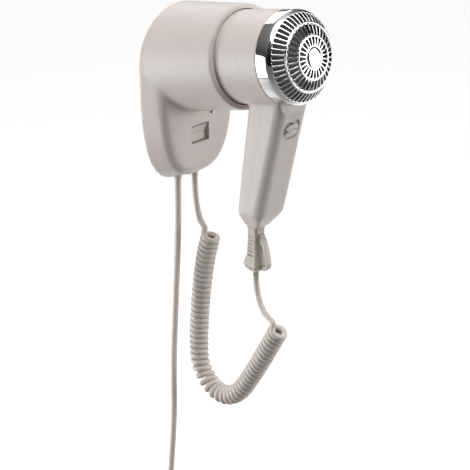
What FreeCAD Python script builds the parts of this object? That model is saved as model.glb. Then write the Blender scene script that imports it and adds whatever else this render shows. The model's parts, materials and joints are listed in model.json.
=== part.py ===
import FreeCAD, Part
import math
import os
from FreeCAD import Placement, Rotation, Vector

# Wall-held hair dryer: a holder with a tilted cup, and a handset whose nozzle sits in the cup.
# Millimetres. The wall is the plane y = 0, the dryer stands out towards -Y, and +Z is up.
# The origin is the centre of the cup where it meets the wall.
# L is the distance from the origin along the tilted barrel axis, outwards.

# Driving dimensions: axis and cup
TILT = 11.3             # the barrel axis rises by this many degrees, outwards
CUP_BASE_R = 55.2       # cup's outer radius at the wall
CUP_RIM_R = 50.7        # cup's outer radius at its rim
CUP_RIM_L = 95.3        # rim
CUP_MOUTH_R = 45.9      # opening in the rim
LIP = 3.0               # thickness of the rim
WALL = 2.5              # holder's wall thickness

# Driving dimensions: lower body of the holder
BACK_W = 55.0           # half width at the wall
BACK_H = 126.0          # from the cup's centre down to the bottom, at the wall
FRONT_W = 49.5          # half width at the front face
FRONT_H = 114.5         # from the cup's centre down to the bottom, at the front face
BODY_DEPTH = 28.0       # wall to front face
OUTLINE_POWER = 3.0     # how square the rounded bottom is: 2 is an ellipse
EDGE_ROUND = 6.0        # rounding between the sides and the front face

# Driving dimensions: inside the holder
PLATE_T = 2.5           # wall plate's thickness
WALL_SCREW_X = 30.0     # holes for the wall screws, each side of the middle
WALL_SCREW_Z = 25.0     # upper pair
WALL_SCREW_SPAN = 110.0     # from the upper pair down to the lower pair
WALL_SCREW_R = 2.3
SHELL_SCREW_X = -2.0    # from below, between the two cords
SHELL_SCREW_Y = -12.0
SHELL_SCREW_Z = -120.4  # seat of its head
LINER_IN_R = 46.4       # cup liner's inner radius at the rim
LINER_FLOOR_R = 35.0
LINER_FLOOR_L = 14.0
LINER_T = 1.4
LINER_SCREW_L = 48.0
LINER_SCREW_TURN = -104.0   # degrees round the cup from +X

# Driving dimensions: master switch
ROCKER_Z = -74.5
ROCKER_HALF_W = 11.8
ROCKER_HALF_H = 8.4
ROCKER_GAP_X = 0.45     # round the rocker, in the holder's opening
ROCKER_GAP_Z = 1.1
ROCKER_PIVOT_Y = -19.5
ROCKER_SWING = 8.0      # degrees each side of level
ROCKER_PIN_R = 1.2

# Driving dimensions: handset
BARREL_R = 45.0         # barrel's outer radius where it leaves the cup
BARREL_END_R = 44.6     # barrel's outer radius where the intake grille starts
NOZZLE_R = 31.0         # outer radius of the outlet end, inside the cup
NOZZLE_L = 26.0         # outlet end
SEAM_L = 125.0          # seam between the front and the rear housing
SEAM_GAP = 0.05
SEAM_SLOPE = 0.174      # inwards per unit down, where the seam follows the handle
GRILLE_L = 147.6        # start of the intake grille
SHELL = 2.2             # housing wall
GRIP_TOP_Z = -4.0       # the handle's end inside the barrel
GRIP_HALF_W = 21.0      # handle's half width
GRIP_ROUND = 9.5        # rounding of the handle's corners
GRIP_OUTER_Y = -159.5   # outward face, carried up to z = 0
GRIP_LEAN = 12.95       # degrees by which it leans from upright
GRIP_INNER_Y = -112.5   # face towards the wall, carried up to z = 0
GRIP_INNER_LEAN = 7.41
SHOULDER_Z = -134.0     # where the handle starts to narrow to its neck
NECK_HALF_W = 8.6
NECK_Y = -106.6
NECK_Z = -151.5
HOUSING_SCREW_Z = (-72.0, -106.0)

# Driving dimensions: intake grille, outwards along the barrel from its start
BAND_L = 13.4           # chrome band
DOME_L = 33.4           # crown of the dome
DOME_R = 44.2
DOME_T = 1.6
HUB_R = 10.2            # plain disc in the middle
HUB_STEP = 0.9          # height of the disc above the slots round it
SLOT_RINGS = ((24, 11.4, 19.2), (34, 21.3, 30.5), (48, 32.8, 41.5))     # number, inner and outer radius
RIB_W = 1.3             # between two slots

# Driving dimensions: speed switch on the handle
SLIDE_Z = -41.0
SLIDE_RECESS_R = 11.0
KNOB_HALF_W = 8.8
KNOB_HALF_H = 6.4
SLIDE_TRAVEL = 4.0      # each way from the middle
STEM_HALF_W = 2.2
STEM_HALF_H = 1.8
STEM_SLOT_HALF_W = 2.6
STEM_SLOT_HALF_H = STEM_HALF_H + SLIDE_TRAVEL + 0.6

# Driving dimensions: motor, fan and heater, along the barrel
MOTOR_R = 14.2
MOTOR_LOW = 104.0
MOTOR_HIGH = 133.0
SHAFT_R = 1.6
FAN_R = 39.0
FAN_LOW = 137.0
FAN_HIGH = 147.0
FAN_BLADES = 7
FAN_PITCH = 48.0        # degrees
VANES = 8
WINDING_L = (41.0, 50.0, 59.0, 68.0, 77.0, 86.0)
WINDING_R = 21.5
WIRE_COIL_R = 1.5       # radius of the coiled heater wire

# Driving dimensions: cords
CORD_EXIT_Y = -8.5      # both cords at the bottom of the holder
MAINS_X = -14.0
CURLY_X = 10.0
EXIT_Z = -124.5         # where the cords leave the holder
CLAMP_Z = -108.2        # cord clamps inside
CLAMP_SCREW_X = 6.5     # each side of the cord
TAIL_TOP_Z = -101.0     # where the cords' sheaths end inside
POLE_X = (-16.0, -12.0, 8.0, 12.0)
RELIEF_Y = -105.6       # axis of the handset cord's strain relief
RELIEF_BOTTOM = -202.0
HANDSET_TAIL_H = 66.0   # the cord's length inside the strain relief and the handle
CURLY_D = 6.4           # the handset's cord
CURLY_COIL_D = 21.8     # outside of its curls
MAINS_D = 6.8           # the mains lead
HANK_X = 7.0            # centre of the tied mains coil
HANK_Z = -540.0
HANK_R = 40.5           # outer layer of its turns
PLUG_X = HANK_X - HANK_R
PLUG_Y = -19.3
PLUG_TOP = -583.0

# Routes of the cords' middle lines
CURLY_COIL_ROUTE = [
    (7.0, -34.8, -187.5),
    (8.0, -25.5, -215.0),
    (9.0, -17.5, -260.0),
    (9.6, -12.2, -312.0),
    (9.2, -13.5, -350.0),
    (7.5, -34.0, -369.5),
    (4.9, -58.0, -371.0),
    (2.6, -81.0, -356.0),
    (0.6, -100.0, -327.0),
    (-1.5, -120.5, -293.0),
    (-3.8, -141.0, -256.5),
]
CURLY_TOP_ROUTE = [
    (CURLY_X, CORD_EXIT_Y, EXIT_Z),
    (CURLY_X, CORD_EXIT_Y, -143.0),
    (7.6, -13.5, -160.0),
    (4.6, -21.0, -174.0),
    (5.5, -29.0, -196.0),
]
CURLY_BOTTOM_ROUTE = [
    (0.0, RELIEF_Y, RELIEF_BOTTOM),
    (0.0, RELIEF_Y, -217.0),
    (-1.0, -113.0, -235.0),
    (-2.1, -124.0, -248.5),
    (-3.0, -135.0, -258.0),
]
MAINS_ROUTE = [
    (MAINS_X, CORD_EXIT_Y, EXIT_Z),
    (MAINS_X, CORD_EXIT_Y, -160.0),
    (-17.0, -8.8, -212.0),
    (-21.5, -9.0, -272.0),
    (-25.5, -8.6, -338.0),
    (-25.8, -8.8, -402.0),
    (-30.8, -7.6, -462.0),
    (-33.5, -5.7, -504.0),
    (-33.5, -5.7, -540.0),
]

BIG = 400.0             # larger than the whole dryer


# ---------------------------------------------------------------- tools
def save(node, *solids):
    shape = solids[0] if len(solids) == 1 else Part.makeCompound(list(solids))
    shape.exportStep(f"parts/{node}.step")
    volume = sum(s.Volume for s in shape.Solids)
    print(f"{node:22s} {len(shape.Solids)} solid(s) {volume / 1000:8.2f} cm3 valid {shape.isValid()}")


def turned(points):
    """A solid turned about Z from a closed outline of (radius, height) points."""
    wire = Part.makePolygon([Vector(r, 0, z) for r, z in points + points[:1]])
    return Part.Face(wire).revolve(Vector(0, 0, 0), Vector(0, 0, 1), 360)


def disc(radius, low, high, bore=0.0):
    solid = Part.makeCylinder(radius, high - low, Vector(0, 0, low))
    if bore > 0:
        solid = solid.cut(Part.makeCylinder(bore, high - low + 2, Vector(0, 0, low - 1)))
    return solid


def block(x0, x1, y0, y1, z0, z1):
    return Part.makeBox(x1 - x0, y1 - y0, z1 - z0, Vector(x0, y0, z0))


def rod(radius, start, end):
    return Part.makeCylinder(radius, (end - start).Length, start, end - start)


def largest(shape):
    return max(shape.Solids, key=lambda s: s.Volume)


def placed(shape, placement):
    result = shape.copy()
    result.Placement = placement.multiply(result.Placement)
    return result


BARREL = Placement(Vector(0, 0, 0), Rotation(Vector(1, 0, 0), 90 - TILT))


def on_barrel(shape):
    """From a frame with Z along the barrel and Y across it, upwards, to the part's frame."""
    return placed(shape, BARREL)


def barrel_point(x, up, along):
    return BARREL.multVec(Vector(x, up, along))


def rounded_section(half_w, y0, y1, z, radius):
    """A closed wire: a rectangle with round corners, lying level at height z."""
    corners = [(half_w, y0, 270), (half_w, y1, 0), (-half_w, y1, 90), (-half_w, y0, 180)]
    edges = []
    for x, y, start in corners:
        centre = Vector(x - math.copysign(radius, x), y + radius if y == y0 else y - radius, z)
        arc = Part.Circle(centre, Vector(0, 0, 1), radius)
        edges.append(Part.Arc(arc, math.radians(start), math.radians(start + 90)).toShape())
    ring = []
    for index, edge in enumerate(edges):
        following = edges[(index + 1) % 4]
        ring.append(edge)
        ring.append(Part.LineSegment(edge.lastVertex().Point, following.firstVertex().Point).toShape())
    return Part.Wire(ring)


def tube(points, diameter, name):
    """Straight runs joined by arcs, each as large as its two runs allow."""
    points = [Vector(*p) for p in points]
    starts = [points[0]]
    edges = []
    radii = []
    for before, corner, after in zip(points, points[1:], points[2:]):
        inward = (before - corner).normalize()
        outward = (after - corner).normalize()
        turn = math.pi - inward.getAngle(outward)
        cut_back = 0.45 * min((before - corner).Length, (after - corner).Length)
        radii.append(cut_back / math.tan(turn / 2))
        enter = corner + inward * cut_back
        leave = corner + outward * cut_back
        to_middle = (inward + outward).normalize()
        depth = radii[-1] / math.cos(turn / 2) - radii[-1]
        edges.append(Part.LineSegment(starts[-1], enter).toShape())
        edges.append(Part.Arc(enter, corner + to_middle * depth, leave).toShape())
        starts.append(leave)
    edges.append(Part.LineSegment(starts[-1], points[-1]).toShape())
    path = Part.Wire(edges)
    first = (points[1] - points[0]).normalize()
    section = Part.Wire(Part.Circle(points[0], first, diameter / 2).toShape())
    solid = path.makePipeShell([section], True, False)
    expected = path.Length * math.pi * diameter ** 2 / 4
    smallest = min(radii) if radii else float("inf")
    print(f"{name}: length {path.Length:.1f}, smallest radius {smallest:.1f},"
          f" volume {solid.Volume / expected:.4f} of section x length")
    return solid


# ---------------------------------------------------------------- holder
def body_outline(half_w, height, y):
    """A half circle above, and below it a rounded, squarish bottom."""
    arc = Part.Circle(Vector(0, y, 0), Vector(0, -1, 0), half_w)
    top = Part.Arc(Vector(half_w, y, 0), Vector(0, y, half_w), Vector(-half_w, y, 0)).toShape()
    steps = 20
    lower = []
    for step in range(steps + 1):
        angle = math.pi * step / steps
        c = math.cos(angle)
        s = max(math.sin(angle), 0.0)
        x = -math.copysign(abs(c) ** (2 / OUTLINE_POWER), c) * half_w
        lower.append(Vector(x, y, -height * s ** (2 / OUTLINE_POWER)))
    curve = Part.BSplineCurve()
    curve.interpolate(Points=lower, InitialTangent=Vector(0, 0, -height), FinalTangent=Vector(0, 0, height))
    return Part.Wire([top, curve.toShape()])


def body_block(inset, back_y, front_y):
    back = body_outline(BACK_W - inset, BACK_H - inset, back_y)
    front = body_outline(FRONT_W - inset, FRONT_H - inset, front_y)
    return Part.makeLoft([back, front], True, True)


def cup_cone(inset, start, end):
    slope = (CUP_BASE_R - CUP_RIM_R) / CUP_RIM_L
    r0 = CUP_BASE_R - slope * start - inset
    r1 = CUP_BASE_R - slope * end - inset
    return on_barrel(Part.makeCone(r0, r1, end - start, Vector(0, 0, start)))


def rocker_opening():
    half_w = ROCKER_HALF_W + ROCKER_GAP_X
    half_h = ROCKER_HALF_H + ROCKER_GAP_Z
    return block(-half_w, half_w, -BODY_DEPTH - 5, -20, ROCKER_Z - half_h, ROCKER_Z + half_h)


def cord_hole(x, radius):
    return Part.makeCylinder(radius, 40, Vector(x, CORD_EXIT_Y, -135))


def liner_screw_axis(radius):
    turn = math.radians(LINER_SCREW_TURN)
    return barrel_point(radius * math.cos(turn), radius * math.sin(turn), LINER_SCREW_L)


def holder_shell():
    outer = body_block(0, 0, -BODY_DEPTH)
    front_edges = [e for e in outer.Edges if e.BoundBox.YMax < -BODY_DEPTH + 0.01]
    outer = outer.makeFillet(EDGE_ROUND, front_edges)
    room_in_front = block(-BIG, BIG, -BIG, 0, -BIG, BIG)
    cup = cup_cone(0, -12, CUP_RIM_L).common(room_in_front)
    rim = [e for e in cup.Edges if e.Length > 250 and e.BoundBox.YMax < -70]
    cup = cup.makeFillet(1.6, rim)
    outer = outer.fuse(cup)
    inner = body_block(WALL, 0, -BODY_DEPTH + WALL)
    inner = inner.fuse(cup_cone(WALL, -12, CUP_RIM_L - LIP))
    shell = outer.cut(inner)
    shell = shell.cut(on_barrel(disc(CUP_MOUTH_R, 40, CUP_RIM_L + 5)))
    shell = shell.cut(rocker_opening())
    shell = shell.cut(cord_hole(MAINS_X, 4.6)).cut(cord_hole(CURLY_X, 4.4))
    shell = shell.cut(Part.makeCylinder(1.7, 30, Vector(SHELL_SCREW_X, SHELL_SCREW_Y, -135)))
    shell = shell.cut(Part.makeCylinder(3.2, 135 + SHELL_SCREW_Z, Vector(SHELL_SCREW_X, SHELL_SCREW_Y, -135)))
    shell = shell.cut(rod(1.6, liner_screw_axis(40), liner_screw_axis(60)))
    return shell


def wall_plate():
    plate = body_block(WALL + 0.4, 0, -BODY_DEPTH).common(block(-BIG, BIG, -PLATE_T, 0, -BIG, BIG))
    tab = block(SHELL_SCREW_X - 2.6, SHELL_SCREW_X + 2.6, -15.4, -PLATE_T, -115.2, -107)
    pads = [block(x - 8.6, x + 8.6, -4.6, -PLATE_T, CLAMP_Z - 4, CLAMP_Z + 4) for x in (MAINS_X, CURLY_X)]
    plate = plate.fuse([tab] + pads)
    plate = plate.cut(Part.makeCylinder(1.3, 12, Vector(SHELL_SCREW_X, SHELL_SCREW_Y, -119)))
    for x in (-WALL_SCREW_X, WALL_SCREW_X):
        for z in (WALL_SCREW_Z, WALL_SCREW_Z - WALL_SCREW_SPAN):
            plate = plate.cut(rod(WALL_SCREW_R, Vector(x, -10, z), Vector(x, 5, z)))
    for x in (MAINS_X, CURLY_X):
        for side in (-CLAMP_SCREW_X, CLAMP_SCREW_X):
            plate = plate.cut(rod(0.9, Vector(x + side, -6, CLAMP_Z), Vector(x + side, 1, CLAMP_Z)))
    return plate


def cup_liner():
    profile = [
        (0, LINER_FLOOR_L),
        (LINER_FLOOR_R + LINER_T, LINER_FLOOR_L),
        (LINER_IN_R + LINER_T, CUP_RIM_L - LIP - 8),
        (LINER_IN_R + LINER_T, CUP_RIM_L - LIP - 0.1),
        (LINER_IN_R, CUP_RIM_L - LIP - 0.1),
        (LINER_IN_R, CUP_RIM_L - LIP - 8),
        (LINER_FLOOR_R, LINER_FLOOR_L + 2),
        (0, LINER_FLOOR_L + 2),
    ]
    liner = on_barrel(turned(profile))
    boss = rod(3.4, liner_screw_axis(41.0), liner_screw_axis(49.6))
    room = on_barrel(turned([(0, 0), (37, LINER_FLOOR_L), (47.3, 86), (47.3, 100), (0, 100)]))
    boss = boss.cut(room)
    boss = boss.cut(rod(1.05, liner_screw_axis(43.5), liner_screw_axis(60)))
    return liner.fuse(boss).cut(rod(1.05, liner_screw_axis(43.5), liner_screw_axis(60)))


def liner_screw():
    shank = rod(1.05, liner_screw_axis(43.6), liner_screw_axis(53.5))
    head = rod(2.6, liner_screw_axis(53.2), liner_screw_axis(54.9))
    return shank.fuse(head)


def rocker_frame():
    half_w = ROCKER_HALF_W + 0.3
    half_h = ROCKER_HALF_H + 1.3
    wall = 2.3
    frame = block(-half_w - wall, half_w + wall, -25.4, -10,
                  ROCKER_Z - half_h - wall, ROCKER_Z + half_h + wall)
    frame = frame.cut(block(-half_w, half_w, -30, -12, ROCKER_Z - half_h, ROCKER_Z + half_h))
    pin_hole = rod(ROCKER_PIN_R + 0.06, Vector(-20, ROCKER_PIVOT_Y, ROCKER_Z),
                   Vector(20, ROCKER_PIVOT_Y, ROCKER_Z))
    return frame.cut(pin_hole)


def power_rocker():
    """Two flat halves that meet in a shallow valley, shown with the lower half pressed in."""
    valley = ROCKER_HALF_H * math.tan(math.radians(ROCKER_SWING))
    outline = [
        Vector(0, -5.6, ROCKER_HALF_H),
        Vector(0, -5.6 + valley, 0),
        Vector(0, -5.6, -ROCKER_HALF_H),
        Vector(0, 0, -ROCKER_HALF_H + 0.8),
        Vector(0, 5.0, -2.0),
        Vector(0, 5.0, 2.0),
        Vector(0, 0, ROCKER_HALF_H - 0.8),
    ]
    face = Part.Face(Part.makePolygon(outline + outline[:1]))
    button = face.extrude(Vector(2 * ROCKER_HALF_W, 0, 0))
    button.translate(Vector(-ROCKER_HALF_W, 0, 0))
    pin_x = ROCKER_HALF_W + 2.2
    button = button.fuse(rod(ROCKER_PIN_R, Vector(-pin_x, 0, 0), Vector(pin_x, 0, 0)))
    turn = Rotation(Vector(1, 0, 0), ROCKER_SWING)
    return placed(button, Placement(Vector(0, ROCKER_PIVOT_Y, ROCKER_Z), turn))


def terminal_block():
    body = block(-23, 19, -15, -3.2, -97, -87)
    for x in POLE_X:
        body = body.cut(Part.makeCylinder(1.3, 12, Vector(x, CORD_EXIT_Y, -98)))
        body = body.cut(rod(1.8, Vector(x, -16, -92), Vector(x, CORD_EXIT_Y - 0.3, -92)))
    return body


def terminal_screws():
    return [rod(1.75, Vector(x, -14.6, -92), Vector(x, -9.8, -92)) for x in POLE_X]


def core_pair(x, low, high):
    return [Part.makeCylinder(1.2, high - low, Vector(x + side, CORD_EXIT_Y, low)) for side in (-2, 2)]


def cord_clamp(x):
    clamp = block(x - 8.6, x + 8.6, -14.5, -9.0, CLAMP_Z - 3, CLAMP_Z + 3)
    groove = Part.makeCylinder(3.45, 20, Vector(x, CORD_EXIT_Y, CLAMP_Z - 10))
    clamp = clamp.cut(groove)
    for side in (-CLAMP_SCREW_X, CLAMP_SCREW_X):
        clamp = clamp.cut(rod(1.1, Vector(x + side, -15, CLAMP_Z), Vector(x + side, -7, CLAMP_Z)))
    return clamp


def clamp_screws():
    screws = []
    for x in (MAINS_X, CURLY_X):
        for side in (-CLAMP_SCREW_X, CLAMP_SCREW_X):
            shank = rod(0.9, Vector(x + side, -16, CLAMP_Z), Vector(x + side, -1.0, CLAMP_Z))
            head = rod(1.9, Vector(x + side, -16, CLAMP_Z), Vector(x + side, -14.5, CLAMP_Z))
            screws.append(shank.fuse(head))
    return screws


def grommet(x, hole_r, cord_r):
    body = Part.makeCylinder(hole_r - 0.05, 9.0, Vector(x, CORD_EXIT_Y, EXIT_Z))
    flange = Part.makeCylinder(hole_r + 0.9, 1.5, Vector(x, CORD_EXIT_Y, -115.9))
    return body.fuse(flange).cut(Part.makeCylinder(cord_r + 0.05, 20, Vector(x, CORD_EXIT_Y, -130)))


def make_holder():
    save("holder_shell", holder_shell())
    save("wall_plate", wall_plate())
    save("cup_liner", cup_liner())
    save("liner_screw", liner_screw())
    screw = Part.makeCylinder(1.3, 11, Vector(SHELL_SCREW_X, SHELL_SCREW_Y, SHELL_SCREW_Z))
    screw_head = Part.makeCylinder(3.0, 1.7, Vector(SHELL_SCREW_X, SHELL_SCREW_Y, SHELL_SCREW_Z - 1.7))
    save("shell_screw", screw.fuse(screw_head))
    save("rocker_frame", rocker_frame())
    save("power_rocker", power_rocker())
    save("rocker_terminals", *[block(x - 3.1, x + 3.1, -10, -5.2, z, z + 0.8)
                               for x, z in ((-7.0, -81.0), (7.0, -81.0))])
    save("switch_wires", *[Part.makeCylinder(1.2, 6, Vector(x, CORD_EXIT_Y, -87)) for x in (-7.0, 7.0)])
    save("terminal_block", terminal_block())
    save("terminal_screws", *terminal_screws())
    save("mains_clamp", cord_clamp(MAINS_X))
    save("curly_clamp", cord_clamp(CURLY_X))
    save("clamp_screws", *clamp_screws())
    save("mains_grommet", grommet(MAINS_X, 4.6, MAINS_D / 2))
    save("curly_grommet", grommet(CURLY_X, 4.4, CURLY_D / 2))
    tail = TAIL_TOP_Z - EXIT_Z
    save("mains_tail", Part.makeCylinder(MAINS_D / 2, tail, Vector(MAINS_X, CORD_EXIT_Y, EXIT_Z)))
    save("curly_tail", Part.makeCylinder(CURLY_D / 2, tail, Vector(CURLY_X, CORD_EXIT_Y, EXIT_Z)))
    save("mains_cores", *core_pair(MAINS_X, TAIL_TOP_Z, -92.5))
    save("curly_cores", *core_pair(CURLY_X, TAIL_TOP_Z, -92.5))


# ---------------------------------------------------------------- handset
def grip_outer_y(z):
    return GRIP_OUTER_Y - math.tan(math.radians(GRIP_LEAN)) * z


def grip_inner_y(z):
    return GRIP_INNER_Y - math.tan(math.radians(GRIP_INNER_LEAN)) * z


def grip_block(inset):
    """The handle, from inside the barrel down to the neck that holds the strain relief."""
    def section(z):
        return rounded_section(GRIP_HALF_W - inset, grip_outer_y(z) + inset, grip_inner_y(z) - inset, z,
                               GRIP_ROUND - inset)

    neck = rounded_section(NECK_HALF_W - inset, NECK_Y - NECK_HALF_W + inset, NECK_Y + NECK_HALF_W - inset,
                           NECK_Z + inset, 4.0 - inset * 0.5)
    straight = Part.makeLoft([section(GRIP_TOP_Z), section(SHOULDER_Z)], True, True)
    return straight.fuse(Part.makeLoft([section(SHOULDER_Z), neck], True, True))


def barrel_outline(inset, start, end):
    """The barrel's profile, from the outlet end to the intake grille."""
    return [
        (0, start),
        (NOZZLE_R - inset, start),
        (NOZZLE_R - inset + 0.6, NOZZLE_L + 6),
        (BARREL_R - 1.2 - inset, 82),
        (BARREL_R - inset, 90),
        (BARREL_R - inset, CUP_RIM_L + 6),
        (BARREL_END_R - inset, end),
        (0, end),
    ]


FACE = Placement(Vector(0, grip_outer_y(SLIDE_Z), SLIDE_Z), Rotation(Vector(1, 0, 0), GRIP_LEAN))


def on_face(shape):
    """From a frame at the middle of the slide switch, -Y outwards, to the part's frame."""
    return placed(shape, FACE)


def stem_slot(y0, y1):
    """Room for the slider's stem over its whole travel, in the slide switch's frame."""
    return block(-STEM_SLOT_HALF_W, STEM_SLOT_HALF_W, y0, y1, -STEM_SLOT_HALF_H, STEM_SLOT_HALF_H)


def housing():
    outer = on_barrel(turned(barrel_outline(0, NOZZLE_L, GRILLE_L)))
    stop = on_barrel(disc(BIG, GRILLE_L - 0.6, BIG))
    outer = outer.fuse(grip_block(0).cut(stop))
    inner = on_barrel(turned(barrel_outline(SHELL, NOZZLE_L - 1, GRILLE_L + 1)))
    hollow_grip = grip_block(SHELL)
    ceiling = on_barrel(disc(BIG, GRILLE_L - 0.6 - SHELL, BIG))
    shell = outer.cut(inner).cut(hollow_grip.cut(ceiling))
    shell = shell.cut(on_barrel(disc(BARREL_R - SHELL, CUP_RIM_L, GRILLE_L + 1)))
    pad = on_face(rod(SLIDE_RECESS_R + 1.6, Vector(0, 1.0, 0), Vector(0, 4.2, 0))).common(grip_block(0.5))
    shell = shell.fuse(pad)
    shell = shell.cut(on_face(rod(SLIDE_RECESS_R, Vector(0, -6, 0), Vector(0, 2.0, 0))))
    shell = shell.cut(on_face(stem_slot(-1, 9)))
    shell = shell.cut(Part.makeCylinder(4.4, 20, Vector(0, RELIEF_Y, NECK_Z - 8)))
    for z in HOUSING_SCREW_Z:
        shell = shell.cut(housing_screw_hole(z))
    return shell


def grip_middle_y(z):
    return (grip_outer_y(z) + grip_inner_y(z)) / 2


def housing_screw_hole(z):
    return rod(1.4, Vector(0, grip_inner_y(z) - 8, z), Vector(0, grip_inner_y(z) + 4, z))


def front_side():
    """Everything on the wall side of the seam, which follows the barrel and then the handle's middle."""
    corner = barrel_point(0, -BARREL_R, SEAM_L)
    low = -200.0
    outline = [
        barrel_point(0, 120, SEAM_L),
        corner,
        Vector(0, corner.y + (corner.z - low) * SEAM_SLOPE, low),
        Vector(0, 60, low),
        Vector(0, 60, 160),
    ]
    face = Part.Face(Part.makePolygon(outline + outline[:1]))
    solid = face.extrude(Vector(200, 0, 0))
    solid.translate(Vector(-100, 0, 0))
    return solid


def screw_posts(side):
    """Posts inside the handle that the housing screws go into, cut at the seam."""
    posts = []
    for z in HOUSING_SCREW_Z:
        post = rod(3.4, Vector(0, grip_inner_y(z) - 1.0, z), Vector(0, grip_outer_y(z) + 1.0, z))
        bore = rod(1.4, Vector(0, grip_inner_y(z) + 3.0, z), Vector(0, grip_middle_y(z) - 6.0, z))
        posts.append(post.cut(bore).common(side))
    return posts


def intake_grille():
    """A chrome band and dome, with three rings of radial slots round a plain hub."""
    start = GRILLE_L + 0.1
    shoulder = GRILLE_L + BAND_L
    top = GRILLE_L + DOME_L
    band_start = Vector(DOME_R + 0.2, 0, start)
    band_end = Vector(DOME_R, 0, shoulder)
    hub_edge = Vector(HUB_R, 0, top - HUB_STEP)
    hub_top = Vector(HUB_R - 0.6, 0, top)
    inner_start = Vector(DOME_R + 0.2 - DOME_T, 0, start)
    inner_end = Vector(DOME_R - DOME_T, 0, shoulder)
    inner_edge = Vector(HUB_R - 0.6, 0, top - HUB_STEP - DOME_T)
    crown = Vector(0, 0, top)
    crown_inside = Vector(0, 0, top - HUB_STEP - DOME_T)
    edges = [
        Part.LineSegment(inner_end, inner_start).toShape(),
        Part.LineSegment(inner_start, band_start).toShape(),
        Part.LineSegment(band_start, band_end).toShape(),
        Part.Arc(band_end, Vector(31.5, 0, top - 6.6), hub_edge).toShape(),
        Part.LineSegment(hub_edge, hub_top).toShape(),
        Part.LineSegment(hub_top, crown).toShape(),
        Part.LineSegment(crown, crown_inside).toShape(),
        Part.LineSegment(crown_inside, inner_edge).toShape(),
        Part.Arc(inner_edge, Vector(30.6, 0, top - 8.1), inner_end).toShape(),
    ]
    dome = Part.Face(Part.Wire(edges)).revolve(Vector(0, 0, 0), Vector(0, 0, 1), 360)
    slots = []
    for count, inner_r, outer_r in SLOT_RINGS:
        inner_w = math.pi * inner_r / count - RIB_W / 2
        outer_w = math.pi * outer_r / count - RIB_W / 2
        corners = [Vector(inner_r, -inner_w, shoulder - 2), Vector(outer_r, -outer_w, shoulder - 2),
                   Vector(outer_r, outer_w, shoulder - 2), Vector(inner_r, inner_w, shoulder - 2)]
        slot = Part.Face(Part.makePolygon(corners + corners[:1])).extrude(Vector(0, 0, DOME_L))
        for index in range(count):
            turn = Rotation(Vector(0, 0, 1), 360 * (index + 0.5) / count)
            slots.append(placed(slot, Placement(Vector(), turn)))
    return dome.cut(Part.makeCompound(slots))


def fan_impeller():
    hub = disc(13.0, FAN_LOW, FAN_HIGH)
    blades = []
    for index in range(FAN_BLADES):
        blade = block(11, FAN_R, -0.7, 0.7, -7.2, 7.2)
        pitch = Placement(Vector(0, 0, (FAN_LOW + FAN_HIGH) / 2), Rotation(Vector(1, 0, 0), FAN_PITCH))
        around = Placement(Vector(), Rotation(Vector(0, 0, 1), 360 * index / FAN_BLADES))
        blades.append(placed(placed(blade, pitch), around))
    return hub.fuse(blades).cut(disc(SHAFT_R, FAN_LOW - 1, FAN_HIGH - 1.5))


def motor_mount():
    """A sleeve round the motor, held by vanes that straighten the air."""
    sleeve = disc(MOTOR_R + 2, 112, 132, MOTOR_R + 0.05)
    ring = disc(42.3, 114, 130, 40.8)
    vanes = []
    for index in range(VANES):
        vane = block(MOTOR_R + 1.5, 41.2, -0.8, 0.8, 115, 129)
        turn = Rotation(Vector(0, 0, 1), 360 * (index + 0.5) / VANES)
        vanes.append(placed(vane, Placement(Vector(), turn)))
    wire_notch = block(-8, 8, -50, -38, 113, 131)
    return sleeve.fuse([ring] + vanes).cut(wire_notch)


def motor_can():
    return turned([(1.9, MOTOR_LOW), (MOTOR_R, MOTOR_LOW), (MOTOR_R, MOTOR_HIGH), (13.2, MOTOR_HIGH),
                   (13.2, MOTOR_LOW + 1.2), (4.2, MOTOR_LOW + 1.2), (4.2, MOTOR_LOW + 3.5),
                   (1.9, MOTOR_LOW + 3.5)])


def motor_end_cap():
    return turned([(1.9, MOTOR_HIGH - 2), (4.4, MOTOR_HIGH - 2), (4.4, MOTOR_HIGH + 0.1),
                   (MOTOR_R, MOTOR_HIGH + 0.1), (MOTOR_R, MOTOR_HIGH + 2), (1.9, MOTOR_HIGH + 2)])


def motor_magnets():
    ring = disc(13.1, 109, 128, 10.4)
    wedge = block(-20, 20, -5.5, 5.5, 100, 140)
    return ring.cut(wedge).Solids


def mica_board(slot_low, slot_high):
    board = block(-26.9, 26.9, -0.4, 0.4, 34, 92)
    board = board.cut(block(-0.45, 0.45, -1, 1, slot_low, slot_high))
    for along in WINDING_L:
        for side in (-WINDING_R, WINDING_R):
            board = board.cut(rod(1.9, Vector(side, -2, along), Vector(side, 2, along)))
    return board


def outlet_grille():
    rings = [disc(28.6, NOZZLE_L + 1, NOZZLE_L + 4, 27.2)]
    rings += [disc(r, NOZZLE_L + 1, NOZZLE_L + 3, r - 1.2) for r in (21.5, 14.5, 7.5)]
    spokes = [placed(block(6.8, 27.6, -0.7, 0.7, NOZZLE_L + 1, NOZZLE_L + 3),
                     Placement(Vector(), Rotation(Vector(0, 0, 1), 45 + 90 * index))) for index in range(4)]
    return rings[0].fuse(rings[1:] + spokes)


def slider():
    """Knob with a finger ridge, and the stem that works the switch behind the housing."""
    outline = Part.Wire(Part.Ellipse(Vector(), KNOB_HALF_W, KNOB_HALF_H).toShape())
    knob = Part.Face(outline).extrude(Vector(0, 0, 2.9))
    knob = placed(knob, Placement(Vector(0, 1.7, 0), Rotation(Vector(1, 0, 0), 90)))
    ridge = block(-6.4, 6.4, -2.6, 0, -1.0, 1.0)
    stem = block(-STEM_HALF_W, STEM_HALF_W, 1.5, 7.2, -STEM_HALF_H, STEM_HALF_H)
    return on_face(knob.fuse([ridge, stem]))


def switch_body():
    body = block(-7, 7, 4.4, 12.5, -14, 14)
    return on_face(body.cut(stem_slot(4, 7.6)))


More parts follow.
